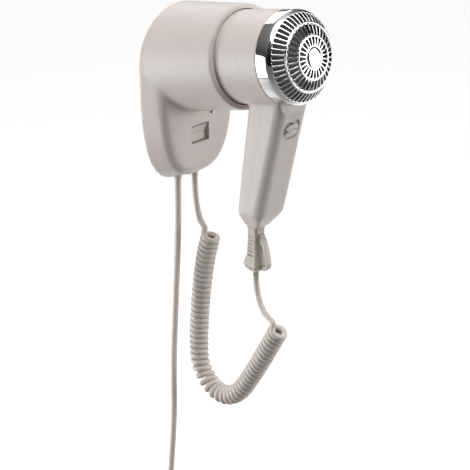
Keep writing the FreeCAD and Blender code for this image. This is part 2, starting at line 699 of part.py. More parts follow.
def across(outline, half_w):
    """A prism along X from (out from the strain relief's axis, height) points."""
    points = [Vector(-half_w, RELIEF_Y + out, z) for out, z in outline]
    return Part.Face(Part.makePolygon(points + points[:1])).extrude(Vector(2 * half_w, 0, 0))


def relief():
    """A ribbed, flared strain relief with a hanging loop on its outward side."""
    y = RELIEF_Y
    straight = Part.makeLoft([rounded_section(7.0, y - 6.4, y + 6.4, -156.0, 3.0),
                              rounded_section(7.2, y - 6.6, y + 6.6, -180.0, 3.0)], True, True)
    flare = Part.makeLoft([rounded_section(7.2, y - 6.6, y + 6.6, -180.0, 3.0),
                           rounded_section(10.2, y - 10.0, y + 10.0, -194.0, 4.5)], True, True)
    under = Part.makeLoft([rounded_section(10.2, y - 10.0, y + 10.0, -194.0, 4.5),
                           rounded_section(5.5, y - 5.5, y + 5.5, RELIEF_BOTTOM, 3.5)], True, True)
    neck = Part.makeLoft([rounded_section(7.8, y - 7.8, y + 7.6, -151.6, 3.6),
                          rounded_section(7.0, y - 6.4, y + 6.4, -156.0, 3.0)], True, True)
    body = neck.fuse([straight, flare, under])
    spigot = Part.makeCylinder(4.2, 7, Vector(0, y, -153))
    collar = Part.makeCylinder(5.1, 2.5, Vector(0, y, -149.05))
    strap = [(-3, -158), (-12.5, -166), (-18.5, -188), (-17.5, -196), (-3, -197)]
    hole = [(-8.6, -171), (-9.8, -171), (-15.2, -186), (-15.2, -192.4), (-10.1, -192.4), (-10.1, -186)]
    body = body.fuse([spigot, collar, across(strap, 2.5)]).cut(across(hole, 20))
    for index in range(6):
        z = -163.0 - 4.0 * index
        for side in (-1, 1):
            body = body.cut(block(side * 8.0 - 1.6, side * 8.0 + 1.6, y - 4.2, y + 4.2, z - 0.8, z + 0.8))
    return body.cut(Part.makeCylinder(CURLY_D / 2 + 0.05, 80, Vector(0, y, -215)))


def make_handset():
    shell = housing()
    front = front_side()
    back = block(-BIG, BIG, -BIG, BIG, -BIG, BIG).cut(front)
    back.translate(Vector(0, -SEAM_GAP, 0))
    front_shell = shell.common(front)
    rear_shell = shell.common(back)
    save("front_housing", largest(front_shell).fuse(screw_posts(front)))
    save("rear_housing", largest(rear_shell).fuse(screw_posts(back)))
    save("housing_screws", *[housing_screw(z) for z in HOUSING_SCREW_Z])
    save("intake_grille", on_barrel(intake_grille()))
    save("intake_filter", on_barrel(disc(42.0, 149.0, 149.8)))
    save("fan_impeller", on_barrel(fan_impeller()))
    save("motor_shaft", on_barrel(disc(SHAFT_R, 101.5, FAN_HIGH - 1.5)))
    armature = disc(8.8, 110, 126, SHAFT_R).fuse(disc(3.6, 125.9, 130.5, SHAFT_R))
    save("motor_armature", on_barrel(armature))
    save("motor_can", on_barrel(motor_can()))
    save("motor_end_cap", on_barrel(motor_end_cap()))
    save("motor_bushes", on_barrel(disc(1.88, 104, 107.4, SHAFT_R + 0.05)),
         on_barrel(disc(1.88, 131.1, 135, SHAFT_R + 0.05)))
    save("motor_magnets", *[on_barrel(s) for s in motor_magnets()])
    save("motor_mount", on_barrel(motor_mount()))
    save("rectifier_board", on_barrel(disc(12.5, 99.6, 101.0, 3.0)))
    save("rectifier_diodes", *[on_barrel(rod(1.4, Vector(x, y - 3, 98.1), Vector(x, y + 3, 98.1)))
                               for x, y in ((-7.5, 0), (-4.5, 0), (4.5, 0), (7.5, 0))])
    save("heat_shield", on_barrel(disc(27.7, 32, 96, 27.1)))
    save("mica_board_upright", on_barrel(placed(mica_board(63, 93), Placement(Vector(), Rotation(90, 0, 0)))))
    save("mica_board_level", on_barrel(mica_board(33, 63)))
    save("heater_windings", *[on_barrel(Part.makeTorus(WINDING_R, WIRE_COIL_R, Vector(0, 0, along)))
                              for along in WINDING_L])
    save("thermostat", on_barrel(block(4, 12, 4, 10, 79, 91)))
    save("thermal_fuse", on_barrel(Part.makeCylinder(1.9, 12, Vector(-8.5, 8.5, 70))))
    save("outlet_grille", on_barrel(outlet_grille()))
    save("switch_body", switch_body())
    save("speed_slider", slider())
    save("handset_relief", relief())
    y = RELIEF_Y
    save("handset_tail", Part.makeCylinder(CURLY_D / 2, HANDSET_TAIL_H, Vector(0, y, RELIEF_BOTTOM)))
    clamp = block(-7, 7, y - 8.0, y - 0.5, -144.5, -139.5)
    clamp = clamp.cut(Part.makeCylinder(CURLY_D / 2 + 0.05, 20, Vector(0, y, -150)))
    save("handle_clamp", clamp)
    cores = []
    for side in (-1, 1):
        route = [(side * 1.7, y, RELIEF_BOTTOM + HANDSET_TAIL_H + 0.8), (side * 5.8, -107.5, -116.0),
                 (side * 6.0, -119.0, -90.0), (side * 5.6, -133.5, -57.6)]
        cores.append(tube(route, 2.4, "handset core"))
    save("handset_cores", *cores)
    leads = [tube([(x, -139.4, -25.0), (x, -130.0, -10.0), (x * 1.3, -108.5, 6.0)], 2.2, "motor lead")
             for x in (-5.0, 5.0)]
    save("motor_leads", *leads)


def housing_screw(z):
    start = Vector(0, grip_inner_y(z) - 1.2, z)
    end = Vector(0, grip_middle_y(z) - 5.0, z)
    return rod(1.38, start, end)


# ---------------------------------------------------------------- cords
def mains_coil():
    """The outer shape of six turns tied together."""
    outline = [(44.0, -4.6), (44.0, -20.4), (40.5, -22.8), (25.2, -14.6), (25.2, -10.4), (40.5, -2.2)]
    wire = Part.makePolygon([Vector(HANK_X + r, y, HANK_Z) for r, y in outline + outline[:1]])
    return Part.Face(wire).revolve(Vector(HANK_X, 0, HANK_Z), Vector(0, 1, 0), 360)


def cable_tie():
    high = HANK_Z + 44.6
    low = HANK_Z + 24.6
    outer = block(HANK_X - 2.2, HANK_X + 2.2, -24.6, -0.8, low - 1.2, high + 1.2)
    inner = block(HANK_X - 5, HANK_X + 5, -23.4, -2.0, low, high)
    head = block(HANK_X - 3, HANK_X + 3, -28.0, -24.4, HANK_Z + 33, HANK_Z + 39)
    tail = block(HANK_X - 1.8, HANK_X + 1.8, -27.0, -25.6, HANK_Z + 38.9, HANK_Z + 52)
    return outer.cut(inner).fuse([head, tail])


def plug_body():
    base = turned([(0, 0), (5.2, 0), (6.4, -22), (0, -22)])
    base.translate(Vector(PLUG_X, PLUG_Y, PLUG_TOP))
    grip = Part.makeLoft([rounded_section(9.0, -8.0, 8.0, PLUG_TOP - 21.9, 5.0),
                          rounded_section(14.0, -11.0, 11.0, PLUG_TOP - 42, 7.0)], True, True)
    face = Part.makeLoft([rounded_section(14.0, -11.0, 11.0, PLUG_TOP - 42, 7.0),
                          rounded_section(17.8, -13.2, 13.2, PLUG_TOP - 50, 9.0)], True, True)
    rim = Part.makeLoft([rounded_section(17.8, -13.2, 13.2, PLUG_TOP - 50, 9.0),
                         rounded_section(17.8, -13.2, 13.2, PLUG_TOP - 55, 9.0)], True, True)
    head = grip.fuse([face, rim])
    head.translate(Vector(PLUG_X, PLUG_Y, 0))
    body = base.fuse(head)
    for side in (-9.5, 9.5):
        body = body.cut(Part.makeCylinder(2.4, 12, Vector(PLUG_X + side, PLUG_Y, PLUG_TOP - 56)))
    return body


def plug_pins():
    return [Part.makeCylinder(2.4, 30, Vector(PLUG_X + side, PLUG_Y, PLUG_TOP - 74)) for side in (-9.5, 9.5)]


def make_cords():
    fat = tube(CURLY_COIL_ROUTE, CURLY_COIL_D, "curly coil")
    save("curly_coil", fat)
    save("curly_lead_top", largest(tube(CURLY_TOP_ROUTE, CURLY_D, "curly lead, top").cut(fat)))
    save("curly_lead_bottom", largest(tube(CURLY_BOTTOM_ROUTE, CURLY_D, "curly lead, bottom").cut(fat)))
    hank = mains_coil()
    plug_lead = rod(MAINS_D / 2, Vector(PLUG_X, PLUG_Y, PLUG_TOP), Vector(PLUG_X, PLUG_Y, HANK_Z))
    save("mains_coil", hank)
    save("mains_lead", largest(tube(MAINS_ROUTE, MAINS_D, "mains lead").cut(hank)))
    save("plug_lead", largest(plug_lead.cut(hank)))
    save("cable_tie", cable_tie())
    save("plug_body", plug_body())
    save("plug_pins", *plug_pins())


os.makedirs("parts", exist_ok=True)
make_holder()
make_handset()
make_cords()
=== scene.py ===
# %% [markdown]
# # A wall hair dryer
#
# The real object is a plastic holder on a wall, a handset whose nozzle rests in the holder's cup, a
# curly cord between the two and a mains lead. The hard parts come from CAD, so this lesson loads
# them first and never moves them. It then builds what CAD leaves plain: the cords, the softly
# blended holder, the chrome intake and the finish of every surface.

# %% Load the frame
import json
import math

import bpy
from mathutils import Matrix, Vector


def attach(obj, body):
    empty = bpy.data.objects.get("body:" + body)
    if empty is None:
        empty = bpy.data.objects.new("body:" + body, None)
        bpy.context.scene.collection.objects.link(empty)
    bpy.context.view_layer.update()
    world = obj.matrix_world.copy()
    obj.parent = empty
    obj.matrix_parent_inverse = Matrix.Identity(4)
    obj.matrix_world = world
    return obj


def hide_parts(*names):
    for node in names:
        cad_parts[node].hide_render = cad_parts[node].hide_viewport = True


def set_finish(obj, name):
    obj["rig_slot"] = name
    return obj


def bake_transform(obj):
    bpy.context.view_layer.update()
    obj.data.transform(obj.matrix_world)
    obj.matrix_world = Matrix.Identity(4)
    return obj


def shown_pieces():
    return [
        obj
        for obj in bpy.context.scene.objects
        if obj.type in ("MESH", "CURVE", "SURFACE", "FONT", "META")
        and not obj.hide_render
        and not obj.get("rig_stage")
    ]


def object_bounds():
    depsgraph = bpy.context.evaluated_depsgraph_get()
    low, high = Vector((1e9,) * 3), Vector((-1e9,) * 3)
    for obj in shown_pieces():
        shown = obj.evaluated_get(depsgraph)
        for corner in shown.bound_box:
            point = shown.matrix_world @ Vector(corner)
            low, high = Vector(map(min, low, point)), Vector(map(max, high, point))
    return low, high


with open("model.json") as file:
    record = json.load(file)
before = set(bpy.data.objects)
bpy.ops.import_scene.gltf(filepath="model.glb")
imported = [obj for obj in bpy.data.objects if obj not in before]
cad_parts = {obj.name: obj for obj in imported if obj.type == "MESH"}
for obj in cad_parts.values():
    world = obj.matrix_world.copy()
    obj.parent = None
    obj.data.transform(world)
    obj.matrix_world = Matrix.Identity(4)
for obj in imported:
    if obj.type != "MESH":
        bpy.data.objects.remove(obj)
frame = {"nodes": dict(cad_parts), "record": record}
cad_low, cad_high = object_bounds()
nodes = frame["nodes"]
MM = 0.001
print(f"{len(nodes)} CAD nodes, box {[round(1000 * v) for v in cad_high - cad_low]} mm")

# %% [markdown]
# ## The camera
#
# A wall dryer is best seen from the side and a little above, so that the cup, the intake and the
# handle all show. The camera is placed by three plain numbers: how far round, how far up and how
# far away. A long lens keeps the barrel round.

# %% Camera
TARGET = Vector((27.4, -50.0, -189.3)) * MM
AROUND = math.radians(-46.14)
ABOVE = math.radians(24.02)
DISTANCE = 1463.0 * MM

outward = Vector((math.sin(AROUND) * math.cos(ABOVE), -math.cos(AROUND) * math.cos(ABOVE), math.sin(ABOVE)))
lens = bpy.data.cameras.new("camera")
lens.lens = 107.2
lens.sensor_width = 36.0
camera = bpy.data.objects.new("camera", lens)
bpy.context.scene.collection.objects.link(camera)
camera.location = TARGET + outward * DISTANCE
camera.rotation_mode = "QUATERNION"
camera.rotation_quaternion = (-outward).to_track_quat("-Z", "Y")
bpy.context.scene.camera = camera
print("camera at", [round(v, 3) for v in camera.location])

# %% [markdown]
# ## Floor and light
#
# White plastic needs light that wraps round it, and chrome needs something dark to reflect, or it
# turns into white plastic too. So there are big soft lamps above and at the sides, a floor far below
# with painted shade on its near side and a painted glow on its far side that sends light up under
# the cup, and a sky that is bright above and dark at the horizon.

# %% Floor
FLOOR_DROP = 0.55
bpy.ops.object.select_all(action="DESELECT")
bpy.ops.mesh.primitive_plane_add(size=60, location=(0, 0, cad_low.z - FLOOR_DROP))
floor = bpy.context.object
floor.name = "floor"
floor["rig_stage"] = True


# %% Lamps
def lamp(name, place, aim, size, power):
    """A square soft lamp that looks from place to aim."""
    light = bpy.data.lights.new(name, "AREA")
    light.shape = "RECTANGLE"
    light.size, light.size_y = size
    light.energy = power
    shining = bpy.data.objects.new(name, light)
    shining.location = place
    shining.rotation_euler = (Vector(aim) - Vector(place)).to_track_quat("-Z", "Y").to_euler()
    bpy.context.scene.collection.objects.link(shining)


MIDDLE = Vector((0, -0.07, -0.1))
lamp("top_lamp", (-0.3, -0.6, 1.5), MIDDLE, (1.5, 1.5), 22)
lamp("left_lamp", (-1.35, 1.15, -0.5), MIDDLE, (1.0, 1.3), 25)
lamp("front_lamp", (1.25, -1.55, -0.1), MIDDLE, (0.9, 1.5), 18)
lamp("rim_lamp", (0.8, 1.2, 0.9), MIDDLE, (1.2, 1.0), 7)

# %% Sky
SKY_STOPS = ((0.0, 0.60), (0.40, 0.54), (0.47, 0.05), (0.60, 0.07), (0.86, 0.26), (1.0, 1.0))
world = bpy.data.worlds.new("soft_sky")
bpy.context.scene.world = world
world.use_nodes = True
sky = world.node_tree
place = sky.nodes.new("ShaderNodeTexCoord")
split = sky.nodes.new("ShaderNodeSeparateXYZ")
height = sky.nodes.new("ShaderNodeMapRange")
height.inputs["From Min"].default_value = -1
ramp = sky.nodes.new("ShaderNodeValToRGB")
while len(ramp.color_ramp.elements) < len(SKY_STOPS):
    ramp.color_ramp.elements.new(0.5)
for element, (position, level) in zip(ramp.color_ramp.elements, SKY_STOPS):
    element.position = position
    element.color = (level, level, level, 1)
nearness = sky.nodes.new("ShaderNodeVectorMath")
nearness.operation = "DOT_PRODUCT"
nearness.inputs[1].default_value = (-0.72, -0.69, 0)
dimming = sky.nodes.new("ShaderNodeMapRange")
dimming.interpolation_type = "SMOOTHSTEP"
dimming.inputs["From Min"].default_value = 0.35
dimming.inputs["From Max"].default_value = 0.9
dimming.inputs["To Min"].default_value = 0.9
dimming.inputs["To Max"].default_value = 0.15
sky.links.new(place.outputs["Generated"], split.inputs[0])
sky.links.new(split.outputs["Z"], height.inputs["Value"])
sky.links.new(height.outputs[0], ramp.inputs[0])
sky.links.new(place.outputs["Generated"], nearness.inputs[0])
sky.links.new(nearness.outputs["Value"], dimming.inputs["Value"])
sky.links.new(ramp.outputs[0], sky.nodes["Background"].inputs["Color"])
sky.links.new(dimming.outputs[0], sky.nodes["Background"].inputs["Strength"])
bpy.context.scene.view_settings.view_transform = "Standard"

# %% [markdown]
# ## Cords: the routes
#
# Each cord is a fixed length of round, springy PVC lead. Its route is a short list of given points,
# and the line between them is one smooth NURBS curve, as a hanging lead is smooth. The points
# follow the CAD tubes closely, so that the looks and the physics agree.

# %% Routes
CURLY_D = 6.4 * MM
CURL_R = 7.7 * MM
MAINS_D = 6.8 * MM
HOLDER_LEAD = [
    (10.0, -8.5, -124.5),
    (10.0, -8.5, -143.0),
    (7.6, -13.5, -160.0),
    (4.6, -21.0, -174.0),
]
CURLS = [
    (7.0, -34.8, -187.5),
    (8.0, -25.5, -215.0),
    (9.0, -17.5, -260.0),
    (9.6, -12.2, -312.0),
    (9.2, -13.5, -350.0),
    (7.5, -34.0, -369.5),
    (4.9, -58.0, -371.0),
    (2.6, -81.0, -356.0),
    (0.6, -100.0, -327.0),
    (-1.5, -120.5, -293.0),
    (-3.8, -141.0, -256.5),
]
HANDSET_LEAD = [
    (0.0, -105.6, -202.0),
    (0.0, -105.6, -217.0),
    (-1.8, -111.5, -232.0),
    (-5.0, -121.5, -244.5),
]
MAINS = [
    (-14.0, -8.5, -124.5),
    (-14.0, -8.5, -160.0),
    (-17.0, -8.8, -212.0),
    (-21.5, -9.0, -272.0),
    (-25.5, -8.6, -338.0),
    (-25.8, -8.8, -402.0),
    (-30.8, -7.6, -462.0),
    (-33.5, -5.7, -504.0),
]


def nurbs(name, points):
    """A curve object of one open spline with these control points, in metres."""
    curve = bpy.data.curves.new(name, "CURVE")
    curve.dimensions = "3D"
    curve.bevel_resolution = 5
    curve.use_fill_caps = True
    spline = curve.splines.new("NURBS")
    spline.points.add(len(points) - 1)
    for knot, point in zip(spline.points, points):
        knot.co = (*point, 1)
    spline.order_u = 3
    spline.use_endpoint_u = True
    spline.resolution_u = 6
    item = bpy.data.objects.new(name, curve)
    bpy.context.scene.collection.objects.link(item)
    return item


def line_of(item):
    """The points along a curve that has no bevel."""
    mesh = bpy.data.meshes.new_from_object(item)
    line = [vertex.co.copy() for vertex in mesh.vertices]
    bpy.data.meshes.remove(mesh)
    return line


def length_of(line):
    return sum((b - a).length for a, b in zip(line, line[1:]))


def metres(route):
    return [Vector(point) * MM for point in route]


axis_curve = nurbs("curl_axis", metres(CURLS))
axis_curve.data.splines[0].resolution_u = 40
axis = line_of(axis_curve)
bpy.data.objects.remove(axis_curve)
print(f"middle line of the curls: {1000 * length_of(axis):.0f} mm, {len(axis)} points")

# %% [markdown]
# ## The curly cord
#
# A curly cord is wound on a rod while hot, so at rest every turn touches the next. Where it hangs in
# a bend, the turns still touch on the inside and fan open on the outside. The helix could be an array
# of rings, but then no turn would lead into the next, so it is worked out as one line: at each step
# along the middle line, it turns by the share of a turn that the local pitch gives.

# %% Helix
PITCH = 6.46 * MM
STEPS_PER_TURN = 14
LEAD_IN = ((0.04, 7.5 * MM), (0.035, 3.0 * MM))


def resampled(line, step):
    """Points a fixed step apart along a line."""
    result = [line[0].copy()]
    left = step
    for start, end in zip(line, line[1:]):
        run = end - start
        at = 0.0
        while run.length - at > left:
            at += left
            result.append(start + run.normalized() * at)
            left = step
        left -= run.length - at
    return result


def helix(line, first_side, last_side):
    """A left-handed helix round line, and how its two ends stand: (centre, side, direction)."""
    step = 0.2 * MM
    dense = resampled(line, step)
    ways = [(b - a).normalized() for a, b in zip(dense, dense[1:])]
    reach = 60
    pitches = []
    for index in range(len(ways)):
        low, high = max(0, index - reach), min(len(ways) - 1, index + reach)
        bend = ways[low].angle(ways[high]) / ((high - low) * step)
        pitches.append(PITCH / (1 - min(bend * CURL_R, 0.6)))
    turns = sum(step / pitch for pitch in pitches)
    side = (first_side - ways[0] * first_side.dot(ways[0])).normalized()
    sides = [side]
    for way in ways[1:]:
        side = (side - way * side.dot(way)).normalized()
        sides.append(side)
    wanted = (last_side - ways[-1] * last_side.dot(ways[-1])).normalized()
    end_angle = math.atan2(wanted.dot(ways[-1].cross(sides[-1])), wanted.dot(sides[-1]))
    whole = round(turns + end_angle / math.tau) - end_angle / math.tau
    scale = whole / turns
    points = []
    phase = 0.0
    next_phase = 0.0
    for centre, way, side, pitch in zip(dense, ways, sides, pitches):
        if phase >= next_phase:
            angle = -math.tau * phase
            radial = side * math.cos(angle) + way.cross(side) * math.sin(angle)
            points.append(centre + radial * CURL_R)
            next_phase += 1 / STEPS_PER_TURN
        phase += scale * step / pitch
    print(f"{whole:.2f} turns, {1000 * scale:.0f} permille of the natural number")
    return points, (dense[0], sides[0], ways[0]), (dense[-1], wanted, ways[-1])


def lead_in(end, sense):
    """Points that bring the lead round into the first turn, from far to near."""
    centre, side, way = end
    outwards = -way * sense
    points = []
    for turn, rise in LEAD_IN:
        angle = sense * math.tau * turn
        radial = side * math.cos(angle) + way.cross(side) * math.sin(angle)
        points.append(centre + radial * CURL_R + outwards * rise)
    return points


camera_left = Vector((-math.cos(AROUND), -math.sin(AROUND), 0))
turns_line, top_end, low_end = helix(axis, camera_left, camera_left)
curly_points = metres(HOLDER_LEAD) + lead_in(top_end, 1) + turns_line
curly_points += lead_in(low_end, -1)[::-1] + metres(HANDSET_LEAD)[::-1]
curly_bare = nurbs("curly_line", curly_points)
curly_bare.data.splines[0].resolution_u = 2
curly_line = line_of(curly_bare)
bpy.data.objects.remove(curly_bare)


# %% Tube round a line
def from_points(name, vertices, edges=(), faces=()):
    mesh = bpy.data.meshes.new(name)
    mesh.from_pydata(vertices, edges, faces)
    item = bpy.data.objects.new(name, mesh)
    bpy.context.scene.collection.objects.link(item)
    return item


def tube(name, line, radius, sides=12):
    """A round tube whose rings are square to the line, closed at both ends."""
    ways = [(b - a).normalized() for a, b in zip(line, line[1:])]
    ways = [ways[0]] + [(a + b).normalized() for a, b in zip(ways, ways[1:])] + [ways[-1]]
    side = ways[0].orthogonal().normalized()
    vertices = []
    for point, way in zip(line, ways):
        side = (side - way * side.dot(way)).normalized()
        other = way.cross(side)
        for index in range(sides):
            angle = math.tau * index / sides
            vertices.append(point + (side * math.cos(angle) + other * math.sin(angle)) * radius)
    faces = []
    for ring in range(len(line) - 1):
        for index in range(sides):
            a = ring * sides + index
            b = ring * sides + (index + 1) % sides
            faces.append((a, b, b + sides, a + sides))
    faces.append(tuple(range(sides - 1, -1, -1)))
    faces.append(tuple(range((len(line) - 1) * sides, len(line) * sides)))
    item = from_points(name, vertices, faces=faces)
    item.data.shade_smooth()
    return item


curly_cord = tube("curly_cord", curly_line, CURLY_D / 2)
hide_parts("curly_coil", "curly_lead_top", "curly_lead_bottom")
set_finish(curly_cord, "cord_sheath")
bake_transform(curly_cord)
print(f"curly cord: {len(curly_cord.data.polygons)} faces")

# %% [markdown]
# ## The mains lead
#
# The lead hangs from the holder and is slightly wavy, because it was once folded in a box. The rest
# of it is wound into a tied coil out of sight. Its six turns lie in a hexagon, as round things pack,
# so each turn is a circle with its own radius and depth that eases into the next one.

# %% Mains lead
HANK_CENTRE = Vector((7.0, 0, -540.0)) * MM
HANK_TURNS = ((40.5, -5.7), (34.6, -9.1), (28.7, -12.5), (34.6, -15.9), (40.5, -12.5), (40.5, -19.3))
HANK_STEPS = 16
PLUG_TOP = Vector((-33.5, -19.3, -583.0)) * MM
mains_points = metres(MAINS)
for turn, (radius, depth) in enumerate(HANK_TURNS):
    following = HANK_TURNS[min(turn + 1, len(HANK_TURNS) - 1)]
    for step in range(HANK_STEPS):
        share = step / HANK_STEPS
        ease = max(0.0, (share - 0.7) / 0.3)
        ease = ease * ease * (3 - 2 * ease)
        r = (radius + (following[0] - radius) * ease) * MM
        y = (depth + (following[1] - depth) * ease) * MM
        angle = math.pi + math.tau * share
        mains_points.append(HANK_CENTRE + Vector((r * math.cos(angle), y, r * math.sin(angle))))
mains_points.append(HANK_CENTRE + Vector((-40.5, -19.3, 0)) * MM)
mains_points.append(PLUG_TOP + Vector((0, 0, 20)) * MM)
mains_points.append(PLUG_TOP)
mains_cord = nurbs("mains_cord", mains_points)
mains_cord.data.splines[0].resolution_u = 4
mains_length = length_of(line_of(mains_cord))
mains_cord.data.bevel_depth = MAINS_D / 2
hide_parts("mains_lead", "mains_coil", "plug_lead")
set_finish(mains_cord, "cord_sheath")
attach(mains_cord, "holder")
print(f"mains lead {mains_length:.2f} m")

# %% [markdown]
# ## Tools for solid pieces
#
# The pieces below start as primitives, are shaped in edit mode and are finished with modifiers. Each
# one ends at the origin, unturned, with its place in its mesh. These few helpers do what a modeller's
# hands do: pick one thing, cut one solid with another, and put a piece down in the barrel's frame.

# %% Solid tools
TILT = 11.3
BARREL = Matrix.Rotation(math.radians(90 - TILT), 4, "X")


def along_barrel(point):
    """A point in the barrel's own frame, in millimetres, with Z along the barrel."""
    return BARREL.inverted() @ point / MM



def pick(item):
    """Only this object is selected and active."""
    if bpy.context.object and bpy.context.object.mode != "OBJECT":
        bpy.ops.object.mode_set(mode="OBJECT")
    bpy.ops.object.select_all(action="DESELECT")
    item.select_set(True)
    bpy.context.view_layer.objects.active = item
    return item


def added(name, operator, **settings):
    """The new object that a primitive operator adds."""
    if bpy.context.object and bpy.context.object.mode != "OBJECT":
        bpy.ops.object.mode_set(mode="OBJECT")
    bpy.ops.object.select_all(action="DESELECT")
    operator(**settings)
    item = bpy.context.object
    item.name = name
    item.data.name = name
    return item


def settled(item, matrix=None):
    """The object's place, and a further placement, go into its mesh."""
    pick(item)
    if matrix is not None:
        item.matrix_world = matrix @ item.matrix_world
    bpy.ops.object.transform_apply(location=True, rotation=True, scale=True)
    return item


def finished_with(item, kind, **settings):
    """Adds a modifier and applies it."""
    pick(item)
    modifier = item.modifiers.new(kind.lower(), kind)
    for key, value in settings.items():
        setattr(modifier, key, value)
    bpy.ops.object.modifier_apply(modifier=modifier.name)
    return item


def combined(item, other, operation):
    """A boolean with a second solid, which is then gone."""
    finished_with(item, "BOOLEAN", object=other, operation=operation, solver="EXACT")
    bpy.data.objects.remove(other)
    return item


def joined(name, items):
    """Several objects as one."""
    pick(items[0])
    for item in items[1:]:
        item.select_set(True)
    bpy.ops.object.join()
    items[0].name = name
    items[0].data.name = name
    return items[0]


def edit_where(item, test, mode="VERT"):
    """Edit mode with only those vertices selected whose place passes the test."""
    pick(item)
    bpy.ops.object.mode_set(mode="EDIT")
    bpy.ops.mesh.select_mode(type="VERT")
    bpy.ops.mesh.select_all(action="DESELECT")
    bpy.ops.object.mode_set(mode="OBJECT")
    for vertex in item.data.vertices:
        vertex.select = test(vertex.co)
    bpy.ops.object.mode_set(mode="EDIT")
    bpy.ops.mesh.select_mode(type=mode)


def edit_edges(item, test):
    """Edit mode with only those edges selected whose two ends pass the test."""
    pick(item)
    bpy.ops.object.mode_set(mode="EDIT")
    bpy.ops.mesh.select_mode(type="EDGE")
    bpy.ops.mesh.select_all(action="DESELECT")
    bpy.ops.object.mode_set(mode="OBJECT")
    for edge in item.data.edges:
        edge.select = test(*(item.data.vertices[index].co for index in edge.vertices))
    bpy.ops.object.mode_set(mode="EDIT")


def edit_all(item):
    """Edit mode with everything selected."""
    pick(item)
    bpy.ops.object.mode_set(mode="EDIT")
    bpy.ops.mesh.select_all(action="SELECT")


def faces_outward():
    """Turns every face of the edited object outwards and leaves edit mode."""
    bpy.ops.mesh.select_all(action="SELECT")
    bpy.ops.mesh.normals_make_consistent(inside=False)
    bpy.ops.object.mode_set(mode="OBJECT")


def turned(name, profile, segments=160):
    """A solid of revolution about Z: an outline of (radius, height) points spun all the way round."""
    item = from_points(name, [(r, 0, z) for r, z in profile], [(i, i + 1) for i in range(len(profile) - 1)])
    edit_all(item)
    bpy.ops.mesh.spin(steps=segments, angle=math.tau, center=(0, 0, 0), axis=(0, 0, 1))
    bpy.ops.mesh.select_all(action="SELECT")
    bpy.ops.mesh.remove_doubles(threshold=0.00001)
    faces_outward()
    return item


def box(name, low, high):
    """A box between two corners, in millimetres."""
    low, high = Vector(low) * MM, Vector(high) * MM
    item = added(name, bpy.ops.mesh.primitive_cube_add, size=1, location=(low + high) / 2)
    item.scale = high - low
    return settled(item)


def rod(name, start, end, radius, sides=48):
    """A cylinder between two points, in millimetres."""
    start, end = Vector(start) * MM, Vector(end) * MM
    item = added(name, bpy.ops.mesh.primitive_cylinder_add, vertices=sides, radius=radius * MM,
                 depth=(end - start).length, location=(start + end) / 2)
    item.rotation_mode = "QUATERNION"
    item.rotation_quaternion = (end - start).to_track_quat("Z", "Y")
    return settled(item)


def smoothed(item, weight_of, times):
    """Relaxes the surface where weight_of a point is above 0."""
    group = item.vertex_groups.new(name="relax")
    for vertex in item.data.vertices:
        weight = weight_of(vertex.co)
        if weight > 0.01:
            group.add([vertex.index], weight, "REPLACE")
    finished_with(item, "SMOOTH", vertex_group="relax", iterations=times, factor=0.5)
    item.vertex_groups.clear()
    return item


def shaded(item, degrees):
    pick(item)
    bpy.ops.object.shade_smooth_by_angle(angle=math.radians(degrees))
    return item


def fade(value, near, far):
    """1 below near, 0 above far, and smooth between."""
    share = min(1.0, max(0.0, (far - value) / (far - near)))
    return share * share * (3 - 2 * share)


print("solid tools ready")

# %% [markdown]
# ## The holder
#
# The real holder is one moulding: a tilted cup that grows out of a flat box, and where the cup's
# underside meets the front face the plastic flows from one into the other. A bevel on the joint of
# two solids is fragile there, because the joint is a curve in space. So the two solids are united,
# rebuilt as one even skin of small faces, and relaxed only beside the joint. The sharp openings are
# cut afterwards, so that they stay sharp.

# %% Holder outline
BACK_W, BACK_H = 55.0, 126.0
FRONT_W, FRONT_H = 49.5, 114.5
DEPTH = 28.0
WALL = 2.5
CUP_BASE_R, CUP_RIM_R, CUP_RIM_L = 55.2, 50.7, 95.3
CUP_SLOPE = (CUP_BASE_R - CUP_RIM_R) / CUP_RIM_L
CUP_MOUTH_R = 45.9
ROCKER_Z = -74.5


def holder_box(name, inset, front_y):
    """The lower body: a half circle above, a squarish round bottom, and slanted sides."""
    item = added(name, bpy.ops.mesh.primitive_circle_add, vertices=160, radius=1, fill_type="NGON")
    for vertex in item.data.vertices:
        c, s = vertex.co.x, vertex.co.y
        if s > 0:
            vertex.co = Vector((c * (BACK_W - inset), 0, s * (BACK_W - inset))) * MM
        else:
            x = math.copysign(abs(c) ** (2 / 3), c) * (BACK_W - inset)
            vertex.co = Vector((x, 0, -abs(s) ** (2 / 3) * (BACK_H - inset))) * MM
    edit_all(item)
    bpy.ops.mesh.extrude_region_move(TRANSFORM_OT_translate={"value": (0, front_y * MM, 0)})
    slant = front_y / -DEPTH
    ratio_x = 1 - slant * (1 - FRONT_W / BACK_W)
    ratio_z = 1 - slant * (1 - FRONT_H / BACK_H)
    bpy.ops.transform.resize(value=(ratio_x, 1, ratio_z), center_override=(0, 0, 0))
    faces_outward()
    return item


def cup_solid(name, inset, low, high):
    ends = [CUP_BASE_R - CUP_SLOPE * along - inset for along in (low, high)]
    profile = [(0, low), (ends[0], low), (ends[1], high - 2.2), (ends[1] - 0.5, high - 0.8),
               (ends[1] - 2.0, high), (0, high)]
    item = turned(name, [(r * MM, z * MM) for r, z in profile])
    settled(item, BARREL)
    edit_all(item)
    bpy.ops.mesh.bisect(plane_co=(0, 0, 0), plane_no=(0, 1, 0), use_fill=True, clear_outer=True)
    bpy.ops.object.mode_set(mode="OBJECT")
    return item


